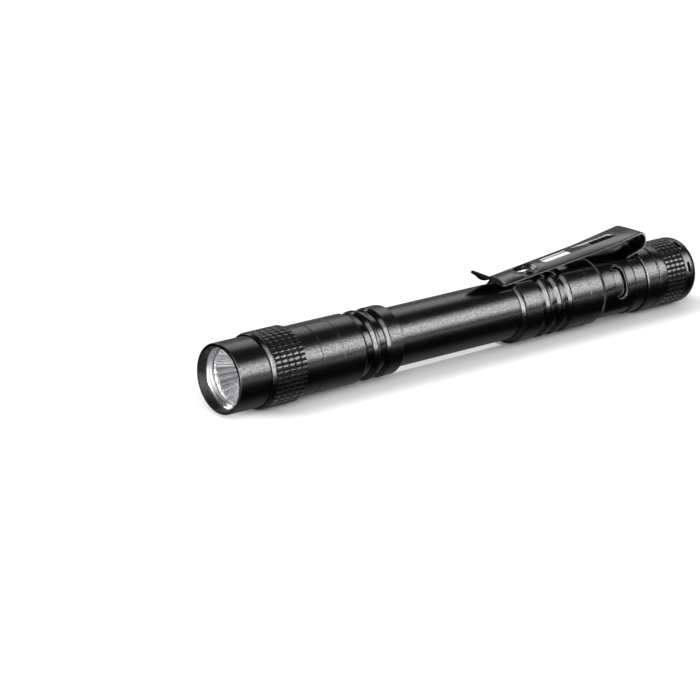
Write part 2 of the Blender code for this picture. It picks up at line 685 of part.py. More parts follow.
def make_button(parent, datum):
    """The rubber button and the switch plunger, which travel together."""
    stem_r = BUTTON_HOLE_R - CLEARANCE
    stem_end = CAP_LENGTH - BUTTON_RECESS - BUTTON_START
    outer = [
        (0.0, BUTTON_FLANGE_R), (BUTTON_FLANGE, BUTTON_FLANGE_R), (BUTTON_FLANGE, stem_r),
        (stem_end - BUTTON_DOME, stem_r), (stem_end, stem_r - 2 * BUTTON_DOME),
    ]
    turned_solid("tail_button", outer, black_rubber, parent, BUTTON_START - datum)
    outer = [(0.0, PLUNGER_R), (PLUNGER_LENGTH, PLUNGER_R)]
    turned_solid("switch_plunger", outer, white_plastic, parent, PLUNGER_START - datum)


def make_tail_spring(parent):
    """A tapered contact spring, wide on the switch board and narrow on the cell."""
    start = CELLS_END + CLEARANCE + SPRING_WIRE_R
    end = CAP_START + SWITCH_BOARD_START - CLEARANCE - SPRING_WIRE_R
    points_a_turn = 10
    count = SPRING_TURNS * points_a_turn
    curve = bpy.data.curves.new("tail_spring", "CURVE")
    curve.dimensions = "3D"
    curve.bevel_depth = SPRING_WIRE_R
    curve.bevel_resolution = 1
    curve.use_fill_caps = True
    spline = curve.splines.new("POLY")
    spline.points.add(count)
    for index in range(count + 1):
        share = index / count
        angle = share * SPRING_TURNS * math.tau
        radius = SPRING_NARROW_R + (SPRING_WIDE_R - SPRING_NARROW_R) * share
        x = radius * math.cos(angle)
        y = radius * math.sin(angle)
        spline.points[index].co = (x, y, (end - start) * share, 1.0)
    new_part("tail_spring", curve, steel, parent, start - CAP_START)


class ClipPath:
    """The middle line of the clip's strip: out along the band, round the bend and back."""

    def __init__(self):
        rise = math.atan2(CLIP_NECK_RISE, CLIP_NECK_RUN)
        neck = math.hypot(CLIP_NECK_RUN, CLIP_NECK_RISE)
        upper = math.pi + CLIP_STRAP_SLOPE
        self.runs = [(CLIP_BAND_WIDTH, 0.0, 0.0), (neck, rise, rise)]
        self.runs.append(((upper - rise) * CLIP_BEND_R, rise, upper))
        self.runs.append((CLIP_STRAP_LENGTH, upper, upper))
        fold_end = upper - CLIP_FOLD_ANGLE
        self.runs.append((CLIP_FOLD_ANGLE * CLIP_FOLD_R, upper, fold_end))
        self.runs.append((CLIP_LIP_LENGTH, fold_end, fold_end))
        self.ends = []
        total = 0.0
        for length, _, _ in self.runs:
            total += length
            self.ends.append(total)

    def at(self, distance):
        """Station, height above the axis and heading at a distance along the strip."""
        station = CLIP_START
        height = CLIP_R
        for length, first, last in self.runs:
            run = min(distance, length)
            heading = first + (last - first) * run / length
            if abs(last - first) < 1e-6:
                station += run * math.cos(first)
                height += run * math.sin(first)
            else:
                radius = length / (last - first)
                station += radius * (math.sin(heading) - math.sin(first))
                height -= radius * (math.cos(heading) - math.cos(first))
            distance -= run
            if distance <= 0.0:
                break
        return station, height, heading

    def curvature(self, distance):
        """How the strip curves across its width: round the tube, flat, then crowned."""
        bend_start = self.ends[1]
        bend_end = self.ends[2]
        crowned = bend_end + CLIP_STRAP_LENGTH / 3
        middle = (bend_start + bend_end) / 2
        if distance <= CLIP_BAND_WIDTH:
            return -1.0 / CLIP_R
        if distance <= middle:
            return -(middle - distance) / (middle - CLIP_BAND_WIDTH) / CLIP_R
        if distance <= crowned:
            return (distance - middle) / (crowned - middle) / CLIP_STRAP_CAMBER_R
        if distance <= self.ends[3]:
            return 1.0 / CLIP_STRAP_CAMBER_R
        share = (distance - self.ends[3]) / (self.ends[5] - self.ends[3])
        return (1.0 - share) / CLIP_STRAP_CAMBER_R

    def half_width(self, distance):
        neck_half = CLIP_R * CLIP_NECK
        tip_half = CLIP_TIP_WIDTH / 2
        if distance <= self.ends[2]:
            return neck_half
        if distance <= self.ends[4]:
            share = (distance - self.ends[2]) / (self.ends[4] - self.ends[2])
            return neck_half + (tip_half - neck_half) * share
        share = (distance - self.ends[4]) / CLIP_LIP_LENGTH
        end_half = CLIP_LIP_END_WIDTH / 2
        return end_half + (tip_half - end_half) * math.sqrt(max(0.0, 1.0 - share ** 2))

    def point(self, distance, across):
        station, height, heading = self.at(distance)
        curvature = self.curvature(distance)
        if abs(curvature * across) < 1e-4:
            side = across
            lift = 0.0
        else:
            side = math.sin(curvature * across) / curvature
            lift = (1.0 - math.cos(curvature * across)) / curvature
        station -= lift * math.sin(heading)
        height += lift * math.cos(heading)
        return Vector((-height, side, station))


def strip_mesh(name, path, rows, columns, keep):
    """A sheet over rows along the strip and columns across it, thickened afterwards."""
    bm = bmesh.new()
    bmesh.ops.create_grid(
        bm, x_segments=len(rows) - 1, y_segments=len(columns) - 1, size=1.0,
    )
    wanted = []
    for face in bm.faces:
        middle = face.calc_center_median()
        row = min(len(rows) - 2, int((middle.x + 1.0) / 2 * (len(rows) - 1)))
        column = min(len(columns) - 2, int((middle.y + 1.0) / 2 * (len(columns) - 1)))
        if not keep(rows[row], rows[row + 1], columns[column], columns[column + 1]):
            wanted.append(face)
    bmesh.ops.delete(bm, geom=wanted, context="FACES")
    for vertex in bm.verts:
        row = round((vertex.co.x + 1.0) / 2 * (len(rows) - 1))
        column = round((vertex.co.y + 1.0) / 2 * (len(columns) - 1))
        distance = rows[row]
        across = columns[column] * path.half_width(distance)
        vertex.co = path.point(distance, across)
    return mesh_from(bm, name)


def thicken(part):
    shell = part.modifiers.new("sheet", "SOLIDIFY")
    shell.thickness = CLIP_THICKNESS
    shell.offset = 0.0
    shell.use_even_offset = True


def spread(start, end, count):
    return [start + (end - start) * index / count for index in range(count + 1)]


def make_clip_band(path, parent):
    """The two wings round the tube, the neck and the lower half of the bend."""
    nose = (path.ends[1] + path.ends[2]) / 2
    rows = [0.0] + spread(CLIP_BAND_WIDTH, path.ends[1], 3)
    rows += spread(path.ends[1], nose - CLIP_SPLIT_GAP / 2, 4)[1:]
    wrap = CLIP_WRAP / CLIP_NECK
    columns = spread(-wrap, -1.0, 6) + spread(-1.0, 1.0, 4)[1:] + spread(1.0, wrap, 6)[1:]

    def keep(row_start, row_end, column_start, column_end):
        in_band = row_end <= CLIP_BAND_WIDTH
        in_neck = column_start >= -1.0 and column_end <= 1.0
        return in_band or in_neck

    mesh = strip_mesh("clip_band", path, rows, columns, keep)
    band = new_part("clip_band", mesh, clip_steel, parent, 0.0)
    thicken(band)
    inner_r = CLIP_SEAT_R
    outer_r = CLIP_R + CLIP_THICKNESS
    start = CLIP_START + WING_SLOT_SETBACK
    round_off = math.degrees(WING_SLOT_WIDTH / 2 / CLIP_R)
    first, last = WING_SLOT_ANGLES
    for side_name, side in (("near", 1), ("far", -1)):
        ends = sorted((side * (first + round_off), side * (last - round_off)))
        bm = bmesh.new()
        ring_sector(bm, inner_r, outer_r, start, WING_SLOT_WIDTH, *ends)
        boolean(band, new_cutter(f"wing_slot_{side_name}", bm, parent, Matrix.Identity(4)))
        for end_name, angle in zip(("first", "last"), ends):
            bm = bmesh.new()
            middle = start + WING_SLOT_WIDTH / 2
            radial_bar(bm, WING_SLOT_WIDTH, 0.0, inner_r, outer_r, angle, middle, INNER_FACETS)
            name = f"wing_slot_{side_name}_{end_name}"
            boolean(band, new_cutter(name, bm, parent, Matrix.Identity(4)))


def make_clip_arm(path, parent, datum):
    """The upper half of the bend, the crowned strap and the lip that lifts over cloth."""
    nose = (path.ends[1] + path.ends[2]) / 2
    rows = spread(nose + CLIP_SPLIT_GAP / 2, path.ends[2], 4)
    rows += spread(path.ends[2], path.ends[3], 6)[1:]
    rows += spread(path.ends[3], path.ends[4], 3)[1:]
    rows += spread(path.ends[4], path.ends[5], 6)[1:]
    columns = spread(-1.0, 1.0, 6)
    mesh = strip_mesh("clip_arm", path, rows, columns, lambda *edges: True)
    mesh.transform(Matrix.Translation(-datum))
    arm = new_part("clip_arm", mesh, clip_steel, parent, 0.0)
    thicken(arm)
    reach = Matrix.Rotation(math.pi / 2, 4, "Y")
    slot_middle = path.ends[2] + CLIP_SLOT_SETBACK + CLIP_SLOT_LENGTH / 2
    slot = bmesh.new()
    size = Matrix.Diagonal((CLIP_SLOT_LENGTH, CLIP_SLOT_WIDTH, 8 * CLIP_THICKNESS, 1.0))
    bmesh.ops.create_cube(slot, size=1.0, matrix=size)
    upright = [edge for edge in slot.edges if abs(edge.verts[0].co.z - edge.verts[1].co.z) > 1e-6]
    bmesh.ops.bevel(
        slot, geom=upright, offset=0.48 * CLIP_SLOT_WIDTH, segments=6, profile=0.5,
        affect="EDGES", material=-1,
    )
    place = Matrix.Translation(path.point(slot_middle, 0.0) - datum)
    slot.transform(place @ Matrix.Rotation(math.pi / 2 + CLIP_STRAP_SLOPE, 4, "Y"))
    boolean(arm, new_cutter("strap_slot", slot, parent, Matrix.Identity(4)))
    hole = bmesh.new()
    place = Matrix.Translation(path.point(path.ends[2] + CLIP_HOLE_SETBACK, 0.0) - datum)
    bmesh.ops.create_cone(
        hole, cap_ends=True, segments=16, radius1=CLIP_HOLE_R, radius2=CLIP_HOLE_R,
        depth=8 * CLIP_THICKNESS, matrix=place @ reach,
    )
    boolean(arm, new_cutter("strap_hole", hole, parent, Matrix.Identity(4)))


clear_scene()
light = new_collection("ultraviolet_flashlight")
cutters = new_collection("cutters")

anodised = new_material("black_anodised", (0.02, 0.02, 0.022), 0.7, 0.38)
clip_steel = new_material("black_clip_steel", (0.06, 0.06, 0.065), 0.9, 0.3)
polished = new_material("polished_ring", (0.8, 0.8, 0.82), 1.0, 0.15)
mirror = new_material("reflector_mirror", (0.9, 0.9, 0.92), 1.0, 0.06)
glass = new_material("lens_glass", (0.9, 0.92, 0.95), 0.0, 0.03, 0.3)
steel = new_material("spring_steel", (0.7, 0.7, 0.7), 1.0, 0.25)
brass = new_material("brass", (0.75, 0.55, 0.25), 1.0, 0.3)
ceramic = new_material("emitter_ceramic", (0.75, 0.72, 0.55), 0.0, 0.35)
board_white = new_material("board_white", (0.8, 0.8, 0.78), 0.0, 0.5)
board_green = new_material("board_green", (0.03, 0.2, 0.08), 0.0, 0.45)
white_plastic = new_material("white_plastic", (0.8, 0.8, 0.78), 0.0, 0.45)
dark_plastic = new_material("dark_plastic", (0.03, 0.03, 0.03), 0.0, 0.5)
black_rubber = new_material("black_rubber", (0.02, 0.02, 0.02), 0.0, 0.75)
clear_rubber = new_material("clear_rubber", (0.85, 0.85, 0.85), 0.0, 0.4)
red_wire = new_material("red_wire", (0.5, 0.03, 0.03), 0.0, 0.5)
black_wire = new_material("black_wire", (0.02, 0.02, 0.02), 0.0, 0.5)
cell_wrap = new_material("cell_wrap", (0.25, 0.3, 0.34), 0.3, 0.35)

master = new_empty("penlight", None, (-LENGTH / 2, 0.0, AXIS_HEIGHT))
master.rotation_euler = (0.0, math.pi / 2, 0.0)

make_bezel_ring(master)
make_lens_ring(master)
make_front_lens(master)
make_reflector(master)
make_led_gasket(master)
make_led_emitter(master)
make_led_board(master)
make_led_pill(master)
make_leads(master)
make_driver(master)
make_head_shell(master)
make_battery_tube(master)
make_cells(master)
make_tube_seals(master)

cap_axis = new_empty("cap_axis", master, (0.0, 0.0, CAP_START))
make_tail_cap(cap_axis)
make_switch(cap_axis)
make_tail_spring(cap_axis)
button_axis = new_empty("button_axis", cap_axis, (0.0, 0.0, BUTTON_START))
make_button(button_axis, BUTTON_START)

clip_path = ClipPath()
clip_axis = new_empty("clip_axis", master, (0.0, 0.0, 0.0))
make_clip_band(clip_path, clip_axis)
bend_station, bend_height, _ = clip_path.at(clip_path.ends[1])
bend_heading = clip_path.runs[1][1]
bend_centre = Vector((
    -(bend_height + CLIP_BEND_R * math.cos(bend_heading)),
    0.0,
    bend_station - CLIP_BEND_R * math.sin(bend_heading),
))
arm_axis = new_empty("arm_axis", clip_axis, bend_centre)
make_clip_arm(clip_path, arm_axis, bend_centre)
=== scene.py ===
import math
from itertools import accumulate

import bmesh
import bpy
from mathutils import Matrix, Vector


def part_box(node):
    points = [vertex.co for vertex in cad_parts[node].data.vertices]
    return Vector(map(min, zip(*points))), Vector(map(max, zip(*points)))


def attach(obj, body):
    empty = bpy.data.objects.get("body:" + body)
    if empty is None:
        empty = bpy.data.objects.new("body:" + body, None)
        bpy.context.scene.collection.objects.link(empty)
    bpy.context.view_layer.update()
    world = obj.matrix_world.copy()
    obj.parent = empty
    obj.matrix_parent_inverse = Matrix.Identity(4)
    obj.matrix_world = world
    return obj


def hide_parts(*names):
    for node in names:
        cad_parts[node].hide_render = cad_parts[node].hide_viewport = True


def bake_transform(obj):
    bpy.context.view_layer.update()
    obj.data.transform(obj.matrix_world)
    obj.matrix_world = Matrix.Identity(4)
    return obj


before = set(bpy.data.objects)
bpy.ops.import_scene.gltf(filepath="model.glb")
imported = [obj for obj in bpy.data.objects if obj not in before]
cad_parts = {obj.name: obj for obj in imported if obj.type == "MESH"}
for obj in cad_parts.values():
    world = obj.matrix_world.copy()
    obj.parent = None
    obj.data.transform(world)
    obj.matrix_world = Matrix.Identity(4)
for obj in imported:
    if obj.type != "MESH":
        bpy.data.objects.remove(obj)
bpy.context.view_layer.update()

# Bezel ring
# The front of the head: an aluminium sleeve turned on a lathe, rolled with a square knurl
# for grip, bead blasted and anodised black. It screws over the head shell and is glued there.

MM = 0.001
bezel_low, bezel_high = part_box("bezel_ring")
LIP = bezel_low[0]
AXIS = (bezel_low[2] + bezel_high[2]) / 2


def at(station, radius, degrees=0.0):
    """A point by its distance from the front lip and from the axis. 0 degrees is the clip side."""
    turn = math.radians(degrees)
    return Vector((
        LIP + station * MM,
        -radius * MM * math.sin(turn),
        AXIS + radius * MM * math.cos(turn),
    ))


def lathe(bm, outline, closed=True, steps=224):
    """Spin an outline of (station, radius, edge rounding), all in millimetres, round the axis."""
    corners = [bm.verts.new(at(station, radius)) for station, radius, _ in outline]
    edges = [bm.edges.new(pair) for pair in zip(corners, corners[1:])]
    if closed:
        edges.append(bm.edges.new((corners[-1], corners[0])))
    for corner, (_, _, rounding) in zip(corners, outline):
        if rounding:
            bmesh.ops.bevel(
                bm, geom=[corner], offset=rounding * MM, segments=3, profile=0.5,
                affect="VERTICES", material=-1,
            )
    bmesh.ops.spin(
        bm, geom=bm.verts[:] + bm.edges[:], cent=(0.0, 0.0, AXIS), axis=(1.0, 0.0, 0.0),
        angle=math.tau, steps=steps, use_merge=True, use_duplicate=False,
    )
    bmesh.ops.remove_doubles(bm, verts=bm.verts, dist=1e-7)


def finish_piece(bm, name, materials, body, nodes=(), sharp=35.0):
    """Close the mesh work: outward faces, smooth shading, finish, and the solids it stands for."""
    bmesh.ops.recalc_face_normals(bm, faces=bm.faces)
    if bm.calc_volume(signed=True) < 0.0:
        bmesh.ops.reverse_faces(bm, faces=bm.faces)
    mesh = bpy.data.meshes.new(name)
    bm.to_mesh(mesh)
    bm.free()
    mesh.shade_smooth()
    mesh.set_sharp_from_angle(angle=math.radians(sharp))
    piece = bpy.data.objects.new(name, mesh)
    bpy.context.scene.collection.objects.link(piece)
    for material in materials:
        mesh.materials.append(material)
    shading = piece.modifiers.new("even_shading", "WEIGHTED_NORMAL")
    shading.keep_sharp = True
    if body:
        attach(piece, body)
    if nodes:
        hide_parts(*nodes)
    return piece


def plain_finish(name, colour, roughness, metallic=0.0):
    """A surface shader whose even values sit on its own sockets."""
    material = bpy.data.materials.new(name)
    material.use_nodes = True
    shader = material.node_tree.nodes["Principled BSDF"]
    shader.inputs["Base Color"].default_value = (*colour, 1.0)
    shader.inputs["Roughness"].default_value = roughness
    shader.inputs["Metallic"].default_value = metallic
    return material, shader


def feed(tree, socket, source):
    """Give a socket another node's output, or a plain value."""
    if isinstance(source, bpy.types.NodeSocket):
        tree.links.new(source, socket)
    else:
        socket.default_value = source


def spread(tree, value, low, high):
    """Map the middle part of a noise, where most of its values lie, to a range."""
    remap = tree.nodes.new("ShaderNodeMapRange")
    remap.inputs["From Min"].default_value = 0.3
    remap.inputs["From Max"].default_value = 0.7
    feed(tree, remap.inputs["To Min"], low)
    feed(tree, remap.inputs["To Max"], high)
    tree.links.new(value, remap.inputs["Value"])
    return remap.outputs["Result"]


def two_tones(tree, value, first, second):
    """Mix two colours by a value from 0 to 1."""
    mix = tree.nodes.new("ShaderNodeMix")
    mix.data_type = "RGBA"
    feed(tree, mix.inputs["A"], first)
    feed(tree, mix.inputs["B"], second)
    tree.links.new(value, mix.inputs["Factor"])
    return mix.outputs["Result"]


def relief(tree, value, depth_mm, strength, under=None):
    """Small height differences in the surface, on top of an earlier relief if there is one."""
    bump = tree.nodes.new("ShaderNodeBump")
    bump.inputs["Strength"].default_value = strength
    bump.inputs["Distance"].default_value = depth_mm * MM
    tree.links.new(value, bump.inputs["Height"])
    if under is not None:
        tree.links.new(under, bump.inputs["Normal"])
    return bump.outputs["Normal"]


def make_grain():
    """The grain that all finishes share: noise over the piece, a range of it and two tones mixed by it."""
    group = bpy.data.node_groups.new("surface_grain", "ShaderNodeTree")
    for side, name, kind in (
        ("INPUT", "Cells per Metre", "NodeSocketFloat"),
        ("INPUT", "Detail", "NodeSocketFloat"),
        ("INPUT", "Stretch", "NodeSocketVector"),
        ("INPUT", "Low", "NodeSocketFloat"),
        ("INPUT", "High", "NodeSocketFloat"),
        ("INPUT", "First Tone", "NodeSocketColor"),
        ("INPUT", "Second Tone", "NodeSocketColor"),
        ("OUTPUT", "Noise", "NodeSocketFloat"),
        ("OUTPUT", "Value", "NodeSocketFloat"),
        ("OUTPUT", "Tone", "NodeSocketColor"),
    ):
        group.interface.new_socket(name=name, in_out=side, socket_type=kind)
    given = group.nodes.new("NodeGroupInput").outputs
    result = group.nodes.new("NodeGroupOutput").inputs
    coordinates = group.nodes.new("ShaderNodeTexCoord")
    mapping = group.nodes.new("ShaderNodeMapping")
    noise = group.nodes.new("ShaderNodeTexNoise")
    group.links.new(coordinates.outputs["Object"], mapping.inputs["Vector"])
    group.links.new(given["Stretch"], mapping.inputs["Scale"])
    group.links.new(mapping.outputs["Vector"], noise.inputs["Vector"])
    group.links.new(given["Cells per Metre"], noise.inputs["Scale"])
    group.links.new(given["Detail"], noise.inputs["Detail"])
    plain = noise.outputs["Fac"]
    group.links.new(plain, result["Noise"])
    group.links.new(spread(group, plain, given["Low"], given["High"]), result["Value"])
    mask = spread(group, plain, 0.0, 1.0)
    group.links.new(two_tones(group, mask, given["First Tone"], given["Second Tone"]), result["Tone"])
    return group


surface_grain = make_grain()


def add_grain(
    tree, cells, detail, stretch=(1.0, 1.0, 1.0), low=0.0, high=1.0,
    first=(0.0, 0.0, 0.0), second=(1.0, 1.0, 1.0),
):
    """Place the shared grain in a material with its own cells per metre, range and tones."""
    grain = tree.nodes.new("ShaderNodeGroup")
    grain.node_tree = surface_grain
    for name, value in (
        ("Cells per Metre", cells), ("Detail", detail), ("Stretch", stretch), ("Low", low), ("High", high),
        ("First Tone", (*first, 1.0)), ("Second Tone", (*second, 1.0)),
    ):
        grain.inputs[name].default_value = value
    return grain.outputs


def vary_roughness(material, shader, cells, detail, low, high, stretch=(1.0, 1.0, 1.0)):
    """Let the gloss of a finish change a little over its surface."""
    tree = material.node_tree
    grain = add_grain(tree, cells, detail, stretch, low, high)
    tree.links.new(grain["Value"], shader.inputs["Roughness"])


def anodised_finish(name, dark, light, smoothest, grain_depth):
    """Black anodic film: a fine sparkling grain of two tones, faint turning lines under it."""
    material, shader = plain_finish(name, (light, light, light), smoothest, 1.0)
    vary_roughness(material, shader, 260.0, 3.0, smoothest + 0.015, smoothest + 0.055)
    tree = material.node_tree
    grain = add_grain(tree, 4200.0, 2.0, first=(dark, dark, dark), second=(light, light, light))
    turning = add_grain(tree, 1.0, 1.0, stretch=(3600.0, 60.0, 60.0))
    lines = relief(tree, turning["Noise"], 0.003, 1.0)
    tree.links.new(grain["Tone"], shader.inputs["Base Color"])
    tree.links.new(relief(tree, grain["Noise"], grain_depth, 1.0, lines), shader.inputs["Normal"])
    return material


def dull_black(name, roughness, specular):
    """Dull black laid on as painted shade: in bores, on the floor of a knurl and on parts of the clip."""
    material, shader = plain_finish(name, (0.006, 0.006, 0.006), roughness)
    shader.inputs["Specular IOR Level"].default_value = specular
    tree = material.node_tree
    # Two near-black tones speckle the painted shade.
    shade_speckle = add_grain(tree, 1500.0, 2.0, first=(0.002, 0.002, 0.002), second=(0.009, 0.009, 0.009))
    tree.links.new(shade_speckle["Tone"], shader.inputs["Base Color"])
    return material


anodised = anodised_finish("black_anodised", 0.036, 0.112, 0.17, 0.016)
cut_anodised = anodised_finish("black_anodised_cut", 0.045, 0.09, 0.11, 0.006)
# Painted shade for the bezel's bore and for the floors and sides of the knurls and flutes.
anodised_painted_shade = dull_black("black_anodised_painted_shade", 0.7, 0.08)


def place_of(face):
    """A face's distance from the front lip and from the axis, in millimetres."""
    centre = face.calc_center_median()
    return (centre.x - LIP) / MM, math.hypot(centre.y, centre.z - AXIS) / MM


def mark_faces(bm, index, front, rear, low_radius, high_radius):
    """Give another finish to the faces of a turned piece inside a ring-shaped space."""
    for face in bm.faces:
        station, radius = place_of(face)
        if front < station < rear and low_radius < radius < high_radius:
            face.material_index = index


BEZEL_R = 7.57
BEZEL_REAR = 21.84
COLLAR_R = 7.6
BORE_R = 6.85
KNURL_FRONT = 9.0
KNURL_REAR = 17.2
KNURL_ROWS = 5
KNURL_TEETH = 44
KNURL_TOP = 8.2
KNURL_FLOOR = 7.76
PAD_ROOT = 0.1
PAD_ROUNDING = 0.06


def knurl_row(bm, teeth, rows, front, rear, top, floor, flute, cross, lean):
    """Raised square pads: one row along the piece, copied for every tooth round the ring."""
    length = (rear - front) / rows
    width = math.tau * top / teeth
    row = bmesh.new()
    pad = bmesh.ops.create_cube(row, size=1.0)["verts"]
    size = Vector((length - cross, width - flute, top - floor + PAD_ROOT)) * MM
    bmesh.ops.scale(row, vec=size, verts=pad)
    foot = [vertex for vertex in pad if vertex.co.z < 0]
    bmesh.ops.scale(row, vec=(1.0 + 0.5 * cross / length, 1.0 + lean, 1.0), verts=foot)
    bmesh.ops.translate(row, vec=at(front + length / 2, (top + floor - PAD_ROOT) / 2), verts=pad)
    crown_edges = {edge for vertex in pad if vertex not in foot for edge in vertex.link_edges}
    bmesh.ops.bevel(
        row, geom=list(crown_edges), offset=PAD_ROUNDING * MM, segments=2, profile=0.5, affect="EDGES",
        material=-1,
    )
    first_pad = row.verts[:] + row.edges[:] + row.faces[:]
    for index in range(1, rows):
        copy = bmesh.ops.duplicate(row, geom=first_pad)["geom"]
        moved = [item for item in copy if isinstance(item, bmesh.types.BMVert)]
        bmesh.ops.translate(row, vec=(index * length * MM, 0.0, 0.0), verts=moved)
    one_tooth = row.verts[:] + row.edges[:] + row.faces[:]
    for index in range(1, teeth):
        copy = bmesh.ops.duplicate(row, geom=one_tooth)["geom"]
        moved = [item for item in copy if isinstance(item, bmesh.types.BMVert)]
        turn = Matrix.Rotation(index * math.tau / teeth, 3, "X")
        bmesh.ops.rotate(row, cent=(0.0, 0.0, AXIS), matrix=turn, verts=moved)
    pads = bpy.data.meshes.new("pads")
    row.to_mesh(pads)
    row.free()
    bm.from_mesh(pads)
    bpy.data.meshes.remove(pads)


bezel = bmesh.new()
lathe(bezel, [
    (0.0, BORE_R, 0.06), (0.0, BEZEL_R, 0.22), (8.05, BEZEL_R, 0.0), (8.05, 7.86, 0.04),
    (8.75, KNURL_TOP, 0.05), (KNURL_FRONT, KNURL_TOP, 0.05), (KNURL_FRONT, KNURL_FLOOR, 0.0),
    (KNURL_REAR, KNURL_FLOOR, 0.0), (KNURL_REAR, 7.95, 0.05), (17.42, COLLAR_R, 0.0),
    (BEZEL_REAR, COLLAR_R, 0.1), (BEZEL_REAR, BORE_R, 0.0),
])
knurl_row(
    bezel, KNURL_TEETH, KNURL_ROWS, KNURL_FRONT, KNURL_REAR, KNURL_TOP, KNURL_FLOOR,
    flute=0.5, cross=0.26, lean=0.16,
)
# Painted shade: the bore behind the lip and the knurl's floor and pad sides take the dull black.
mark_faces(bezel, 1, 0.1, 4.0, BORE_R - 0.15, BORE_R + 0.15)
mark_faces(bezel, 1, KNURL_FRONT, KNURL_REAR, KNURL_FLOOR - 0.1, KNURL_TOP - 0.1)
finish_piece(bezel, "knurled_bezel", [anodised, anodised_painted_shade], "light", ["bezel_ring"])

# Lens ring
# A thin ring of polished aluminium pressed in over the lens. Its stepped face makes the
# bright circles just inside the lip.

polished, polished_shader = plain_finish("polished_aluminium", (0.86, 0.86, 0.87), 0.14, 1.0)
vary_roughness(polished, polished_shader, 1.0, 1.0, 0.08, 0.26, stretch=(9000.0, 40.0, 40.0))

lens_ring = bmesh.new()
lathe(lens_ring, [
    (2.02, 6.82, 0.03), (2.8, 6.82, 0.0), (2.8, 6.0, 0.0), (2.66, 6.0, 0.0), (2.6, 6.06, 0.0),
    (2.48, 6.26, 0.0), (2.56, 6.3, 0.0), (2.4, 6.34, 0.0), (2.26, 6.54, 0.0), (2.34, 6.58, 0.0),
    (2.18, 6.6, 0.0), (2.02, 6.76, 0.0),
])
finish_piece(lens_ring, "pressed_lens_ring", [polished], "light", ["lens_ring"])

# Front lens
# A flat disc of clear glass with a ground edge, held between the pressed ring and a clear
# silicone ring.

lens_glass = bpy.data.materials.new("clear_lens_glass")
lens_glass.use_nodes = True
lens_shader = lens_glass.node_tree.nodes["Principled BSDF"]
lens_shader.inputs["Base Color"].default_value = (0.98, 0.985, 0.99, 1.0)
lens_shader.inputs["Roughness"].default_value = 0.01
lens_shader.inputs["Transmission Weight"].default_value = 1.0
lens_shader.inputs["IOR"].default_value = 1.5

ground_glass, ground_shader = plain_finish("ground_glass_edge", (0.86, 0.87, 0.88), 0.55)
vary_roughness(ground_glass, ground_shader, 1800.0, 2.0, 0.45, 0.65)

LENS_FRONT = 2.85
LENS_REAR = 4.25
LENS_R = 6.8
lens = bmesh.new()
lathe(lens, [
    (LENS_FRONT, 0.0, 0.0), (LENS_FRONT, LENS_R, 0.1), (LENS_REAR, LENS_R, 0.1), (LENS_REAR, 0.0, 0.0),
], closed=False, steps=128)
mark_faces(lens, 1, LENS_FRONT - 0.1, LENS_REAR + 0.1, LENS_R - 0.1, LENS_R + 0.1)
finish_piece(lens, "flat_lens", [lens_glass, ground_glass], "light", ["front_lens"])

clear_silicone, silicone_shader = plain_finish("clear_silicone", (0.78, 0.78, 0.76), 0.35)
silicone_shader.inputs["Transmission Weight"].default_value = 0.4
vary_roughness(clear_silicone, silicone_shader, 900.0, 2.0, 0.28, 0.45)
lens_seal = bmesh.new()
lathe(lens_seal, [(4.32, 6.52, 0.05), (4.32, LENS_R, 0.1), (5.5, LENS_R, 0.1), (5.5, 6.6, 0.05)])
finish_piece(lens_seal, "lens_seal_sleeve", [clear_silicone], "light", ["lens_o_ring"])

# Reflector
# A thin aluminium bowl pressed to a parabola and bright finished by vacuum coating. Its
# wall keeps faint rings and streaks from the spinning tool.

mirror, mirror_shader = plain_finish("vacuum_coated_mirror", (0.93, 0.93, 0.94), 0.05, 1.0)
mirror_tree = mirror.node_tree
mirror_rings = add_grain(mirror_tree, 1.0, 1.0, stretch=(1500.0, 90.0, 90.0))
mirror_orange = add_grain(mirror_tree, 700.0, 2.0, low=0.03, high=0.1)
mirror_place = mirror_tree.nodes.new("ShaderNodeTexCoord")
mirror_centre = mirror_tree.nodes.new("ShaderNodeMapping")
mirror_centre.inputs["Location"].default_value = (0.0, 0.0, -AXIS)
mirror_axes = mirror_tree.nodes.new("ShaderNodeSeparateXYZ")
mirror_angle = mirror_tree.nodes.new("ShaderNodeMath")
mirror_angle.operation = "ARCTAN2"
mirror_streaks = mirror_tree.nodes.new("ShaderNodeTexNoise")
mirror_streaks.noise_dimensions = "1D"
mirror_streaks.inputs["Scale"].default_value = 8.0
mirror_streaks.inputs["Detail"].default_value = 3.0
mirror_tree.links.new(mirror_place.outputs["Object"], mirror_centre.inputs["Vector"])
mirror_tree.links.new(mirror_centre.outputs["Vector"], mirror_axes.inputs["Vector"])
mirror_tree.links.new(mirror_axes.outputs["Y"], mirror_angle.inputs[0])
mirror_tree.links.new(mirror_axes.outputs["Z"], mirror_angle.inputs[1])
mirror_tree.links.new(mirror_angle.outputs["Value"], mirror_streaks.inputs["W"])
streak_mask = spread(mirror_tree, mirror_streaks.outputs["Fac"], 0.0, 1.0)
streak_tone = two_tones(mirror_tree, streak_mask, (0.3, 0.3, 0.31, 1.0), (0.86, 0.86, 0.87, 1.0))
mirror_tree.links.new(streak_tone, mirror_shader.inputs["Base Color"])
mirror_tree.links.new(mirror_orange["Value"], mirror_shader.inputs["Roughness"])
mirror_relief = relief(mirror_tree, mirror_rings["Noise"], 0.012, 0.8)
mirror_relief = relief(mirror_tree, mirror_streaks.outputs["Fac"], 0.3, 1.0, mirror_relief)
mirror_relief = relief(mirror_tree, mirror_orange["Noise"], 0.006, 0.5, mirror_relief)
mirror_tree.links.new(mirror_relief, mirror_shader.inputs["Normal"])

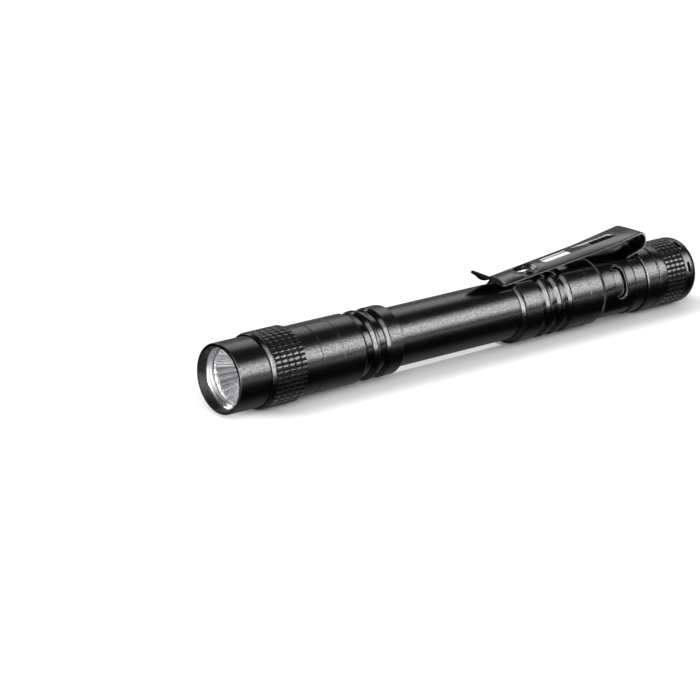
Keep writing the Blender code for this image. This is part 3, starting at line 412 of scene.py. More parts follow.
MOUTH = 4.3
BOWL_DEPTH = 8.5
BOWL_REAR = MOUTH + BOWL_DEPTH
BOWL_STEPS = 24
MOUTH_R = 6.12
HOLE_R = 1.75
bowl = [(MOUTH, 6.48, 0.08), (MOUTH, MOUTH_R + 0.1, 0.05)]
for step in range(BOWL_STEPS + 1):
    radius = MOUTH_R + (HOLE_R - MOUTH_R) * step / BOWL_STEPS
    bowl.append((MOUTH + 0.08 + BOWL_DEPTH * (1.0 - (radius / MOUTH_R) ** 2), radius, 0.0))
bowl += [(BOWL_REAR, HOLE_R, 0.0), (BOWL_REAR, 2.4, 0.0), (11.0, 3.6, 0.0)]
bowl += [(9.0, 4.9, 0.0), (6.4, 6.1, 0.0), (5.4, 6.48, 0.0)]
reflector = bmesh.new()
lathe(reflector, bowl, steps=160)
finish_piece(reflector, "parabolic_reflector", [mirror], "light", ["reflector"])

# Emitter
# A surface-mounted ultraviolet diode: a ceramic base with two gold pads, a small dark die
# and a clear moulded dome over it, soldered to a round metal-core board.

ceramic, ceramic_shader = plain_finish("emitter_ceramic", (0.72, 0.72, 0.68), 0.4)
ceramic_specks = add_grain(
    ceramic.node_tree, 4000.0, 2.0, first=(0.66, 0.66, 0.62), second=(0.78, 0.78, 0.75),
)
ceramic.node_tree.links.new(ceramic_specks["Tone"], ceramic_shader.inputs["Base Color"])
gold, gold_shader = plain_finish("gold_pad", (0.85, 0.65, 0.3), 0.25, 1.0)
vary_roughness(gold, gold_shader, 6000.0, 1.0, 0.2, 0.35)
die, die_shader = plain_finish("violet_die", (0.05, 0.04, 0.09), 0.2)
vary_roughness(die, die_shader, 3000.0, 1.0, 0.12, 0.3)
dome_resin, dome_shader = plain_finish("dome_resin", (0.97, 0.97, 1.0), 0.03)
dome_shader.inputs["Transmission Weight"].default_value = 1.0
dome_shader.inputs["IOR"].default_value = 1.41

BASE_FRONT = 12.9
DOME_R = 1.2
DOME_GAP = 0.005


def block(bm, front, depth, width, height, across=0.0, up=0.0, rounding=0.0, index=0):
    """A small block square to the axis, its front face at a station."""
    verts = bmesh.ops.create_cube(bm, size=1.0)["verts"]
    bmesh.ops.scale(bm, vec=Vector((depth, width, height)) * MM, verts=verts)
    centre = at(front + depth / 2, up) + Vector((0.0, across * MM, 0.0))
    bmesh.ops.translate(bm, vec=centre, verts=verts)
    faces = {face for vertex in verts for face in vertex.link_faces}
    for face in faces:
        face.material_index = index
    if rounding:
        edges = {edge for vertex in verts for edge in vertex.link_edges}
        bmesh.ops.bevel(
            bm, geom=list(edges), offset=rounding * MM, segments=2, profile=0.5, affect="EDGES", material=-1,
        )


emitter = bmesh.new()
block(emitter, BASE_FRONT, 0.6, 3.0, 3.0, rounding=0.06)
for side in (-1, 1):
    block(emitter, BASE_FRONT - 0.03, 0.05, 0.5, 2.4, across=side * 1.15, index=1)
block(emitter, BASE_FRONT - 0.12, 0.14, 1.1, 1.1, index=2)
finish_piece(emitter, "emitter_base", [ceramic, gold, die], "light", ["led_emitter"])

dome = bmesh.new()
dome_outline = []
for step in range(13):
    angle = step * math.pi / 24
    dome_outline.append((BASE_FRONT - DOME_R * math.cos(angle) - DOME_GAP, DOME_R * math.sin(angle), 0.0))
dome_outline.append((BASE_FRONT - DOME_GAP, 0.0, 0.0))
lathe(dome, dome_outline, closed=False, steps=48)
finish_piece(dome, "emitter_dome", [dome_resin], "light")

# Inner stack
# The pill, boards, wires, cells, seals and switch are hidden inside. They keep their
# machined solids and take the finish of what each is made of.


def carried_finish(nodes, name, first, second, cells, roughness, metallic=0.0):
    """Two close tones in a fine noise, given to solids that keep their own shape."""
    material, shader = plain_finish(name, first, roughness, metallic)
    tree = material.node_tree
    grain = add_grain(
        tree, cells, 3.0, low=roughness - 0.06, high=roughness + 0.08, first=first, second=second,
    )
    tree.links.new(grain["Tone"], shader.inputs["Base Color"])
    tree.links.new(grain["Value"], shader.inputs["Roughness"])
    tree.links.new(relief(tree, grain["Noise"], 0.01, 0.4), shader.inputs["Normal"])
    for node in nodes:
        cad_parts[node].material_slots[0].material = material
    return material


carried_finish(
    ["led_pill", "driver_contact", "switch_lock_ring"], "machined_brass",
    (0.72, 0.5, 0.22), (0.8, 0.6, 0.3), 1500.0, 0.3, 1.0,
)
carried_finish(["led_board"], "white_coated_board", (0.74, 0.74, 0.72), (0.82, 0.82, 0.8), 900.0, 0.45)
carried_finish(
    ["driver_board", "switch_board"], "green_circuit_board",
    (0.02, 0.15, 0.06), (0.04, 0.22, 0.1), 1100.0, 0.4,
)
carried_finish(
    ["led_gasket", "switch_plunger"], "white_nylon", (0.76, 0.76, 0.73), (0.84, 0.84, 0.82), 700.0, 0.45,
)
carried_finish(["lead_positive"], "red_insulation", (0.45, 0.02, 0.02), (0.55, 0.04, 0.03), 900.0, 0.45)
carried_finish(["lead_negative"], "black_insulation", (0.015,) * 3, (0.03,) * 3, 900.0, 0.45)
carried_finish(
    ["front_cell", "rear_cell"], "plain_cell_wrap", (0.2, 0.24, 0.28), (0.26, 0.31, 0.36), 120.0, 0.3,
)
carried_finish(["switch_body"], "switch_moulding", (0.02,) * 3, (0.035,) * 3, 900.0, 0.5)
carried_finish(
    ["tail_spring"], "nickelled_spring_wire", (0.68, 0.67, 0.64), (0.76, 0.75, 0.72), 1500.0, 0.22, 1.0,
)
seal_rubber = carried_finish(["head_o_ring"], "nitrile_rubber", (0.012,) * 3, (0.022,) * 3, 1400.0, 0.6)

# Head shell
# The rear half of the head, turned from one bar with the bezel's spigot. Two wide cooling
# grooves have a long bevel on the side that faces forward; a fine line is cut before them.

LINE_DEPTH = 0.13
HEAD_GROOVE_R = 6.98


def groove_exit(start):
    """The long bevel out of a cooling groove, with a fine line cut at its foot and one at its top."""
    return [(start + along, radius, rounding) for along, radius, rounding in (
        (0.0, HEAD_GROOVE_R, 0.05), (0.03, 6.84, 0.0), (0.3, 6.84, 0.0), (0.33, 7.06, 0.0),
        (1.0, 7.5, 0.0), (1.03, 7.34, 0.0), (1.13, 7.34, 0.0), (1.2, COLLAR_R, 0.05),
    )]


head = bmesh.new()
lathe(head, [
    (16.4, 5.8, 0.0), (16.4, 6.55, 0.1), (21.96, 6.55, 0.0), (21.96, COLLAR_R, 0.08),
    (27.42, COLLAR_R, 0.04), (27.5, COLLAR_R - LINE_DEPTH, 0.0), (27.58, COLLAR_R, 0.04),
    (33.25, COLLAR_R, 0.05), (33.75, 7.42, 0.05), (34.05, HEAD_GROOVE_R, 0.08), *groove_exit(35.5),
    (37.25, COLLAR_R, 0.05), (37.5, 7.45, 0.04), (37.9, HEAD_GROOVE_R, 0.08), *groove_exit(39.2),
    (43.75, COLLAR_R, 0.08), (44.02, 7.36, 0.06), (44.02, 6.75, 0.0), (41.9, 6.75, 0.0), (41.9, 6.6, 0.0),
    (38.2, 6.6, 0.0), (38.2, 5.5, 0.0), (25.6, 5.5, 0.0), (25.6, 5.8, 0.0),
])
mark_faces(head, 1, 33.3, 40.35, 6.7, 7.57)
finish_piece(head, "finned_head", [anodised, cut_anodised], "light", ["head_shell"])

# Battery tube
# The grip and the clip seat, turned from one aluminium tube. A bright chamfer and a step
# end the plain grip; three grooves, a fine line and the recess for the clip follow.

GRIP_R = 6.5
TUBE_BORE_R = 5.5
TUBE_NECK_R = 6.3
CLIP_SEAT_R = 6.95
REAR_LAND_R = 7.2
REAR_NECK_R = 5.95
THREAD_START = 118.75
THREAD_ROOT_R = 5.9
THREAD_CREST_R = 6.27
THREAD_TURNS = 4
THREAD_PITCH = 0.8
THREAD_STEPS = 48

tube = bmesh.new()
lathe(tube, [
    (38.5, TUBE_BORE_R, 0.0), (38.5, TUBE_NECK_R, 0.2), (42.5, TUBE_NECK_R, 0.0), (42.5, 5.9, 0.0),
    (43.5, 5.9, 0.0), (43.5, TUBE_NECK_R, 0.0), (44.18, TUBE_NECK_R, 0.0), (44.18, GRIP_R, 0.06),
    (78.8, GRIP_R, 0.06), (79.4, 7.12, 0.06), (79.4, COLLAR_R, 0.06),
    *[
        (groove + along, radius, rounding) for groove in (84.3, 87.65, 91.0)
        for along, radius, rounding in (
            (0.0, COLLAR_R, 0.08), (0.25, 7.4, 0.04), (0.5, 7.03, 0.06), (1.3, 7.03, 0.04), (1.32, 6.9, 0.0),
            (1.5, 6.9, 0.0), (2.14, 7.42, 0.0), (2.17, 7.24, 0.0), (2.29, 7.24, 0.0), (2.37, COLLAR_R, 0.08),
        )
    ],
    (98.92, COLLAR_R, 0.04), (99.0, 7.48, 0.0), (99.08, COLLAR_R, 0.04),
    (102.8, COLLAR_R, 0.07), (102.8, CLIP_SEAT_R, 0.0), (113.6, CLIP_SEAT_R, 0.0),
    (113.6, REAR_LAND_R, 0.06), (116.76, REAR_LAND_R, 0.08), (116.76, REAR_NECK_R, 0.0),
    (117.5, REAR_NECK_R, 0.0), (117.5, TUBE_NECK_R, 0.0), (117.62, 5.9, 0.0), (118.5, 5.9, 0.0),
    (118.5, TUBE_NECK_R, 0.0), (118.62, REAR_NECK_R, 0.0), (123.2, REAR_NECK_R, 0.1),
    (123.2, TUBE_BORE_R, 0.0),
])
mark_faces(tube, 1, 84.3, 93.4, 6.8, 7.62)
finish_piece(tube, "grip_tube", [anodised, cut_anodised], "light", ["battery_tube"])

raw_thread, raw_shader = plain_finish("bare_thread_metal", (0.5, 0.5, 0.51), 0.35, 1.0)
vary_roughness(raw_thread, raw_shader, 2500.0, 2.0, 0.28, 0.45)

thread = bmesh.new()
crest = [thread.verts.new(at(THREAD_START + along, radius)) for along, radius in (
    (0.0, THREAD_ROOT_R), (0.27, THREAD_CREST_R), (0.37, THREAD_CREST_R), (0.64, THREAD_ROOT_R),
)]
ridge = [thread.edges.new(pair) for pair in zip(crest, crest[1:] + crest[:1])]
bmesh.ops.spin(
    thread, geom=crest + ridge, cent=(0.0, 0.0, AXIS), axis=(1.0, 0.0, 0.0),
    dvec=(THREAD_PITCH * MM / THREAD_STEPS, 0.0, 0.0), angle=THREAD_TURNS * math.tau,
    steps=THREAD_TURNS * THREAD_STEPS, use_duplicate=False,
)
bmesh.ops.holes_fill(thread, edges=thread.edges)
finish_piece(thread, "tail_thread", [raw_thread], "light")

tail_seal = bmesh.new()
section = bmesh.ops.create_circle(
    tail_seal, cap_ends=False, segments=16, radius=0.33 * MM,
    matrix=Matrix.Translation(at(118.06, 6.2)) @ Matrix.Rotation(math.pi / 2, 4, "X"),
)["verts"]
bmesh.ops.spin(
    tail_seal, geom=section + tail_seal.edges[:], cent=(0.0, 0.0, AXIS), axis=(1.0, 0.0, 0.0),
    angle=math.tau, steps=96, use_merge=True, use_duplicate=False,
)
bmesh.ops.remove_doubles(tail_seal, verts=tail_seal.verts, dist=1e-7)
finish_piece(tail_seal, "tail_seal_ring", [seal_rubber], "light", ["tail_o_ring"])

# Tail cap
# A turned cap with a band of flutes for the fingers, a fine groove in front of them, two
# lanyard pockets sunk into the rim and a hole for the rubber button in its end.

CAP_FLUTES = 40
CAP_TOP = 7.6
CAP_END = 133.0
FLUTES_FRONT = 123.3
FLUTES_REAR = 129.2
FLUTE_FLOOR = 7.15
FINE_GROOVE_R = 7.38
SKIRT_BORE_R = 6.6
RIM_FRONT = 131.0
RIM_DROP = 1.4
SLOT_ROWS = [129.55, 129.75, 129.95, 130.25, 130.45, 130.65]
LANYARD_DEGREES = (26.0, 72.0)
LANYARD_HALF_DEGREES = 11.6
LANYARD_FLOOR_R = 6.5


def lanyard_opening(bm, middle_degrees):
    """Sink a round-ended pocket into the rim, between the rows of faces kept for it."""
    chosen = []
    for face in bm.faces:
        station, radius = place_of(face)
        if radius < 7.4 or not SLOT_ROWS[0] < station < SLOT_ROWS[-1]:
            continue
        centre = face.calc_center_median()
        degrees = math.degrees(math.atan2(-centre.y, centre.z - AXIS))
        from_end = min(station - SLOT_ROWS[0], SLOT_ROWS[-1] - station)
        shorter = 0.0 if from_end > 0.35 else (1.5 if from_end > 0.15 else 3.2)
        if abs(degrees - middle_degrees) < LANYARD_HALF_DEGREES - shorter:
            chosen.append(face)
    bmesh.ops.inset_region(
        bm, faces=chosen, thickness=0.15 * MM, depth=-0.12 * MM, use_boundary=True, use_even_offset=True,
    )
    sunk = bmesh.ops.extrude_face_region(bm, geom=chosen)["geom"]
    bmesh.ops.delete(bm, geom=chosen, context="FACES")
    verts = [item for item in sunk if isinstance(item, bmesh.types.BMVert)]
    middle = Matrix.Translation((0.0, 0.0, -AXIS))
    inwards = LANYARD_FLOOR_R / CAP_TOP
    bmesh.ops.scale(bm, vec=(1.0, inwards, inwards), space=middle, verts=verts)


cap = bmesh.new()
lathe(cap, [
    (116.98, 6.75, 0.0), (116.98, FINE_GROOVE_R, 0.03), (117.34, CAP_TOP, 0.05), (120.5, CAP_TOP, 0.03),
    (120.6, FINE_GROOVE_R, 0.0), (120.66, FINE_GROOVE_R, 0.0), (121.02, CAP_TOP, 0.03),
    (FLUTES_FRONT, CAP_TOP, 0.05), (FLUTES_FRONT, FLUTE_FLOOR, 0.0),
    (FLUTES_REAR, FLUTE_FLOOR, 0.0), (FLUTES_REAR, CAP_TOP, 0.05),
    *[(row, CAP_TOP, 0.0) for row in SLOT_ROWS],
    *[
        (
            RIM_FRONT + (CAP_END - RIM_FRONT) * math.sin(math.radians(turn)),
            CAP_TOP - RIM_DROP + RIM_DROP * math.cos(math.radians(turn)), 0.0,
        )
        for turn in range(0, 91, 9)
    ],
    (CAP_END, 4.2, 0.12), (131.2, 4.2, 0.0), (131.2, 5.9, 0.0), (124.3, 5.9, 0.0),
    (124.3, SKIRT_BORE_R, 0.0), (118.9, SKIRT_BORE_R, 0.0), (118.9, 6.75, 0.0),
], steps=240)
for middle_degrees in LANYARD_DEGREES:
    lanyard_opening(cap, middle_degrees)
knurl_row(
    cap, CAP_FLUTES, 4, FLUTES_FRONT, FLUTES_REAR, CAP_TOP, FLUTE_FLOOR, flute=0.52, cross=0.24, lean=0.16,
)
# Painted shade: the floors and sides of the flutes take the dull black.
mark_faces(cap, 1, FLUTES_FRONT, FLUTES_REAR, FLUTE_FLOOR - 0.15, CAP_TOP - 0.1)
finish_piece(cap, "fluted_cap", [anodised, anodised_painted_shade], "tail_cap", ["tail_cap"])

# Tail button
# A moulded rubber boot, domed a little and set below the cap's end so that the light can
# stand on its tail. Its skin is pebbled for the thumb.

button_rubber = carried_finish(
    [], "button_rubber", (0.012, 0.012, 0.013), (0.024, 0.024, 0.025), 1600.0, 0.62,
)
button = bmesh.new()
lathe(button, [
    (130.1, 0.0, 0.0), (130.1, 4.8, 0.1), (130.9, 4.8, 0.1), (130.9, 3.95, 0.15), (132.0, 3.95, 0.25),
    (132.12, 3.3, 0.0), (132.02, 3.1, 0.0), (132.14, 2.9, 0.0), (132.3, 1.6, 0.0), (132.36, 0.0, 0.0),
], closed=False, steps=96)
finish_piece(button, "rubber_boot", [button_rubber], "button", ["tail_button"])

# Pocket clip
# One strip of sprung steel, stamped flat with its slots and hole, wrapped round the tube
# at one end and folded back over itself, then blackened. The sheared edges stay bright.

CLIP_FRONT = 103.1
CLIP_R = 7.55
CLIP_HALF = 0.3
BAND_LENGTH = 9.8
NECK_LENGTH = 4.8
NECK_RISE = 0.75
BEND_R = 1.8
STRAP_LENGTH = 40.5
STRAP_SLOPE = math.radians(6.0)
FOLD_R = 3.0
FOLD_TURN = math.radians(30.6)
TONGUE_LENGTH = 5.8

# The strip from band to tongue: each run's length and its heading at both ends.
NECK_HEADING = math.atan2(NECK_RISE, NECK_LENGTH)
STRAP_HEADING = math.pi + STRAP_SLOPE
TONGUE_HEADING = STRAP_HEADING - FOLD_TURN
RUNS = [
    (BAND_LENGTH, 0.0, 0.0),
    (math.hypot(NECK_RISE, NECK_LENGTH), NECK_HEADING, NECK_HEADING),
    ((STRAP_HEADING - NECK_HEADING) * BEND_R, NECK_HEADING, STRAP_HEADING),
    (STRAP_LENGTH, STRAP_HEADING, STRAP_HEADING),
    (FOLD_TURN * FOLD_R, STRAP_HEADING, TONGUE_HEADING),
    (TONGUE_LENGTH, TONGUE_HEADING, TONGUE_HEADING),
]
BAND, BEND_START, STRAP_START, FOLD_START, LIP_START, TONGUE_END = accumulate(run[0] for run in RUNS)


def along_strip(distance):
    """Station, height over the axis and heading at a distance along the bent strip."""
    station = CLIP_FRONT
    height = CLIP_R
    heading = 0.0
    for length, first, last in RUNS:
        run = min(distance, length)
        heading = first + (last - first) * run / length
        if abs(last - first) < 1e-6:
            station += run * math.cos(first)
            height += run * math.sin(first)
        else:
            radius = length / (last - first)
            station += radius * (math.sin(heading) - math.sin(first))
            height -= radius * (math.cos(heading) - math.cos(first))
        distance -= run
        if distance < 1e-4:
            break
    return station, height, heading


STRAP_CROWN_R = 8.6
FOLD_CROWN_R = 6.8
CROWN_RUN = 14.0


def crown(distance):
    """The strip's curve across its width: round the tube, flat at the bend, then crowned."""
    nose = (BEND_START + STRAP_START) / 2
    full = STRAP_START + CROWN_RUN
    if distance <= BAND:
        return -1.0 / CLIP_R
    if distance <= nose:
        return -(nose - distance) / (nose - BAND) / CLIP_R
    if distance <= full:
        return (distance - nose) / (full - nose) / STRAP_CROWN_R
    if distance <= FOLD_START:
        share = (distance - full) / (FOLD_START - full)
        return 1.0 / (STRAP_CROWN_R - (STRAP_CROWN_R - FOLD_CROWN_R) * share)
    return (1.0 - 0.5 * (distance - FOLD_START) / (TONGUE_END - FOLD_START)) / FOLD_CROWN_R


def bent(distance, across, lift):
    """A point of the flat blank after bending, raised off its middle surface by lift."""
    station, height, heading = along_strip(distance)
    curve = crown(distance)
    tilt = curve * across
    if abs(tilt) < 1e-5:
        side = across
        rise = 0.0
    else:
        side = math.sin(tilt) / curve
        rise = (1.0 - math.cos(tilt)) / curve
    side -= lift * math.sin(tilt)
    rise += lift * math.cos(tilt)
    return Vector((
        LIP + (station - rise * math.sin(heading)) * MM,
        side * MM,
        AXIS + (height + rise * math.cos(heading)) * MM,
    ))


NECK_HALF = 3.95
TIP_HALF = 3.45
WING = CLIP_R * math.radians(120)
blank = bmesh.new()
half_outline = [
    (0.0, WING, 0.9), (BAND, WING, 0.9), (BAND, NECK_HALF, 0.9), (STRAP_START, NECK_HALF, 0.0),
    (FOLD_START + 2.2, TIP_HALF, 0.9), (FOLD_START + 4.4, 2.4, 1.2), (TONGUE_END, 1.35, 1.1),
]
outline = half_outline + [(u, -v, rounding) for u, v, rounding in reversed(half_outline)]
corners = [blank.verts.new((u, v, 0.0)) for u, v, _ in outline]
blank.faces.new(corners)
for corner, (_, _, rounding) in zip(corners, outline):
    if rounding:
        bmesh.ops.bevel(
            blank, geom=[corner], offset=rounding, segments=6, profile=0.5, affect="VERTICES", material=-1,
        )
bmesh.ops.delete(blank, geom=blank.faces[:], context="FACES_ONLY")

DISH_AT = STRAP_START + 32.7
DISH_RIM_R = 3.5
DISH_HOLE_R = 2.4
DISH_DEPTH = 1.05
DISH_RINGS = 9
SLOT_FROM = 4.6
SLOT_LENGTH = 22.5
SLOT_WIDTH = 2.5
WING_SLOT_AT = 5.3
WING_SLOT_WIDTH = 3.4
WING_SLOT_MIDDLE = CLIP_R * math.radians(69)
WING_SLOT_LENGTH = CLIP_R * math.radians(59)


def slot_hole(bm, middle_u, middle_v, length_u, length_v):
    """Cut a round-ended slot in the flat blank: a box outline with its corners rounded right off."""
    half_u = length_u / 2
    half_v = length_v / 2
    rounding = min(half_u, half_v) * 0.999
    box = [
        bm.verts.new((middle_u + su * half_u, middle_v + sv * half_v, 0.0))
        for su, sv in ((-1, -1), (1, -1), (1, 1), (-1, 1))
    ]
    for pair in zip(box, box[1:] + box[:1]):
        bm.edges.new(pair)
    for corner in box:
        bmesh.ops.bevel(
            bm, geom=[corner], offset=rounding, segments=8, profile=0.5, affect="VERTICES", material=-1,
        )


def dish_rim(bm):
    """The circle where the dish begins, drawn alike in the blank and in the dish so that they join."""
    bmesh.ops.create_circle(
        bm, cap_ends=False, segments=48, radius=DISH_RIM_R, matrix=Matrix.Translation((DISH_AT, 0.0, 0.0)),
    )


slot_hole(blank, STRAP_START + SLOT_FROM + SLOT_LENGTH / 2, 0.0, SLOT_LENGTH, SLOT_WIDTH)
for side in (-1, 1):
    slot_hole(blank, WING_SLOT_AT, side * WING_SLOT_MIDDLE, WING_SLOT_WIDTH, WING_SLOT_LENGTH)
dish_rim(blank)
bmesh.ops.remove_doubles(blank, verts=blank.verts, dist=1e-4)
bmesh.ops.triangle_fill(blank, use_beauty=True, use_dissolve=False, edges=blank.edges)

dish = bmesh.new()
dish_rim(dish)
edges = dish.edges[:]
for step in range(1, DISH_RINGS + 1):
    extruded = bmesh.ops.extrude_edge_only(dish, edges=edges)["geom"]
    verts = [item for item in extruded if isinstance(item, bmesh.types.BMVert)]
    edges = [item for item in extruded if isinstance(item, bmesh.types.BMEdge)]
    before = DISH_RIM_R + (DISH_HOLE_R - DISH_RIM_R) * (step - 1) / DISH_RINGS
    after = DISH_RIM_R + (DISH_HOLE_R - DISH_RIM_R) * step / DISH_RINGS
    middle = Matrix.Translation((-DISH_AT, 0.0, 0.0))
    bmesh.ops.scale(dish, vec=(after / before, after / before, 1.0), space=middle, verts=verts)
dish_mesh = bpy.data.meshes.new("dish")
dish.to_mesh(dish_mesh)
dish.free()
blank.from_mesh(dish_mesh)
bpy.data.meshes.remove(dish_mesh)
bmesh.ops.remove_doubles(blank, verts=blank.verts, dist=1e-4)
bmesh.ops.recalc_face_normals(blank, faces=blank.faces)
if sum(face.normal.z for face in blank.faces) < 0.0:
    bmesh.ops.reverse_faces(blank, faces=blank.faces)
EDGE_BREAK = 0.17
EDGE_DROP = 0.12
bmesh.ops.inset_region(
    blank, faces=blank.faces[:], thickness=EDGE_BREAK, use_boundary=True, use_even_offset=True,
)


def slice_blank(bm, along, positions):
    """Score the flat blank so that it has points where it bends."""
    normal = (1.0, 0.0, 0.0) if along else (0.0, 1.0, 0.0)
    for position in positions:
        point = tuple(component * position for component in normal)
        bmesh.ops.bisect_plane(
            bm, geom=bm.verts[:] + bm.edges[:] + bm.faces[:], dist=1e-5, plane_co=point, plane_no=normal,
        )


# Each run of the strip is scored across in its own number of steps; the scores along it are even.
CUT_SPACING = 0.66
starts = (0.0, BAND, BEND_START, STRAP_START, FOLD_START, LIP_START)
ends = (BAND, BEND_START, STRAP_START, FOLD_START, LIP_START, TONGUE_END)
cuts = [
    start + (end - start) * index / steps
    for start, end, steps in zip(starts, ends, (4, 6, 28, 24, 10, 5)) for index in range(steps)
]
slice_blank(blank, True, cuts[1:])
slice_blank(blank, False, [CUT_SPACING * index for index in range(-23, 24)])
bmesh.ops.triangulate(blank, faces=[face for face in blank.faces if len(face.verts) > 4])


def dished(u, v):
    """How far the blank is pressed in round the hole near the tongue."""
    share = (DISH_RIM_R - math.hypot(u - DISH_AT, v)) / (DISH_RIM_R - DISH_HOLE_R)
    share = max(0.0, min(1.0, share))
    return DISH_DEPTH * share * share * (3.0 - 2.0 * share)


flat = blank.verts[:]
copy = bmesh.ops.duplicate(blank, geom=flat + blank.edges[:] + blank.faces[:])
under = [copy["vert_map"][vertex] for vertex in flat]
under_faces = [item for item in copy["geom"] if isinstance(item, bmesh.types.BMFace)]
under_set = set(under)
for vertex in flat + under:
    on_rim = any(edge.is_boundary for edge in vertex.link_edges)
    lift = CLIP_HALF - (EDGE_DROP if on_rim else 0.0)
    if vertex in under_set:
        lift = -lift
    u, v, _ = vertex.co
    vertex.co = Vector((u, v, lift))
top_rim = [edge for edge in blank.edges if edge.is_boundary and edge.verts[0] not in under_set]
bmesh.ops.reverse_faces(blank, faces=under_faces)
walls = bmesh.ops.extrude_edge_only(blank, edges=top_rim)["geom"]
lowered = [item for item in walls if isinstance(item, bmesh.types.BMVert)]
bmesh.ops.translate(blank, vec=(0.0, 0.0, -2 * (CLIP_HALF - EDGE_DROP)), verts=lowered)
bmesh.ops.remove_doubles(blank, verts=blank.verts, dist=1e-5)
blank.normal_update()
# Painted shade: the tongue and the edge breaks take the dull black.
for face in blank.faces:
    middle = face.calc_center_median()
    on_rim = abs(middle.z) < 0.01
    on_break = abs(face.normal.z) < 0.95 and not on_rim
    if middle.x > LIP_START - 0.6 or on_break:
        face.material_index = 2
    elif on_rim:
        face.material_index = 1
    # Painted shade: the band takes a darker copy of the strap's blackened steel.
    elif middle.x < BAND:
        face.material_index = 3
for vertex in blank.verts:
    u, v, lift = vertex.co
    vertex.co = bent(u, v, lift + dished(u, v))


def blackened_finish(name, dark, light, tint):
    """Hot-blackened steel: two cloudy tones, a low gloss and a very fine grain."""
    material, shader = plain_finish(name, (light, light, light), 0.15, 1.0)
    shader.inputs["Specular Tint"].default_value = (tint, tint, tint, 1.0)
    tree = material.node_tree
    cloud = add_grain(
        tree, 220.0, 3.0, low=0.15, high=0.22, first=(dark, dark, dark), second=(light, light, light),
    )
    grain = add_grain(tree, 2600.0, 2.0)
    tree.links.new(cloud["Tone"], shader.inputs["Base Color"])
    tree.links.new(cloud["Value"], shader.inputs["Roughness"])
    tree.links.new(relief(tree, grain["Noise"], 0.004, 0.6), shader.inputs["Normal"])
    return material


clip_black = blackened_finish("blackened_spring_steel", 0.085, 0.12, 1.0)
# The band's darker copy of the strap's blackened steel is painted shade.
band_painted_shade = blackened_finish("blackened_steel_band_painted_shade", 0.05, 0.075, 0.62)
# Dull black for the clip's tongue and edge breaks: painted shade.
clip_painted_shade = dull_black("dull_black_clip_shade", 0.8, 0.0)
sheared, sheared_shader = plain_finish("sheared_steel_edge", (0.42, 0.42, 0.43), 0.5, 1.0)
vary_roughness(sheared, sheared_shader, 1800.0, 2.0, 0.42, 0.58)

pocket_clip = finish_piece(
    blank, "pocket_clip", [clip_black, sheared, clip_painted_shade, band_painted_shade], None,
    ["clip_band", "clip_arm"], sharp=50.0,
)

FLOOR_FROM = STRAP_START + 4.4
FLOOR_TO = STRAP_START + 18.6
FLOOR_WIDTH = 2.56
FLOOR_THICKNESS = 0.2
FLOOR_LIFT = 0.28
FLOOR_SUNK = 0.08
# From this station back the slot floor is dull black: painted shade.
SLOT_PAINTED_SHADE_STATION = along_strip(STRAP_START + 11.4)[0]
slot_floor = bmesh.new()
bmesh.ops.create_cube(slot_floor, size=1.0)
floor_size = (FLOOR_TO - FLOOR_FROM, FLOOR_WIDTH, FLOOR_THICKNESS)
bmesh.ops.scale(slot_floor, vec=floor_size, verts=slot_floor.verts)
bmesh.ops.translate(slot_floor, vec=((FLOOR_FROM + FLOOR_TO) / 2, 0.0, 0.0), verts=slot_floor.verts)
slice_blank(slot_floor, True, [FLOOR_FROM + 0.9 * index for index in range(1, 16)])
for vertex in slot_floor.verts:
    share = (FLOOR_TO - vertex.co.x) / (FLOOR_TO - FLOOR_FROM)
    lift = FLOOR_LIFT * max(0.0, min(1.0, (share - 0.1) / 0.4)) - FLOOR_SUNK
    vertex.co = bent(vertex.co.x, vertex.co.y, vertex.co.z + lift)
# Painted shade on the slot floor's rear part.
for face in slot_floor.faces:
    if face.calc_center_median().x - LIP > SLOT_PAINTED_SHADE_STATION * MM:
        face.material_index = 1
finish_piece(
    slot_floor, "clip_slot_floor", [clip_black, clip_painted_shade], "clip_arm", sharp=50.0,
)

bend_station, bend_height, _ = along_strip(BEND_START)
strap_station, strap_height, _ = along_strip(STRAP_START)
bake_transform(pocket_clip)

# Studio
# A white glossy table under a large softbox at the near side and one behind. Those beside
# the camera, at the front and overhead pick out the bevels and the edges.

world = bpy.data.worlds.new("studio")
bpy.context.scene.world = world
world.use_nodes = True
tree = world.node_tree
background = tree.nodes["Background"]
background.inputs["Color"].default_value = (1.0, 1.0, 1.0, 1.0)


def ramp(tree, value, low, high, first=0.0, last=1.0):
    """A smooth change from first to last while the value goes from low to high."""
    remap = tree.nodes.new("ShaderNodeMapRange")
    remap.interpolation_type = "SMOOTHSTEP"
    remap.inputs["From Min"].default_value = low
    remap.inputs["From Max"].default_value = high
    remap.inputs["To Min"].default_value = first
    remap.inputs["To Max"].default_value = last
    tree.links.new(value, remap.inputs["Value"])
    return remap.outputs["Result"]


def combine(tree, operation, first, second):
    """Arithmetic on two sockets, or on a socket and a number."""
    node = tree.nodes.new("ShaderNodeMath")
    node.operation = operation
    for socket, value in zip(node.inputs, (first, second)):
        if isinstance(value, float):
            socket.default_value = value
        else:
            tree.links.new(value, socket)
    return node.outputs["Value"]


def choose(tree, switch, off, on):
    """One of two values by a switch of 0 or 1."""
    when_off = combine(tree, "MULTIPLY", combine(tree, "SUBTRACT", 1.0, switch), off)
    when_on = combine(tree, "MULTIPLY", switch, on)
    return combine(tree, "ADD", when_off, when_on)


def between(tree, value, rise, fall):
    """1 while a value is past its rise and before its fall, each given by two ends, and 0 outside."""
    return combine(tree, "MULTIPLY", ramp(tree, value, *rise), ramp(tree, value, *fall, 1.0, 0.0))


rays = tree.nodes.new("ShaderNodeLightPath")
sky = tree.nodes.new("ShaderNodeTexCoord")
direction = tree.nodes.new("ShaderNodeSeparateXYZ")
tree.links.new(sky.outputs["Generated"], direction.inputs["Vector"])
along = direction.outputs["X"]
sideways = direction.outputs["Y"]
upwards = direction.outputs["Z"]

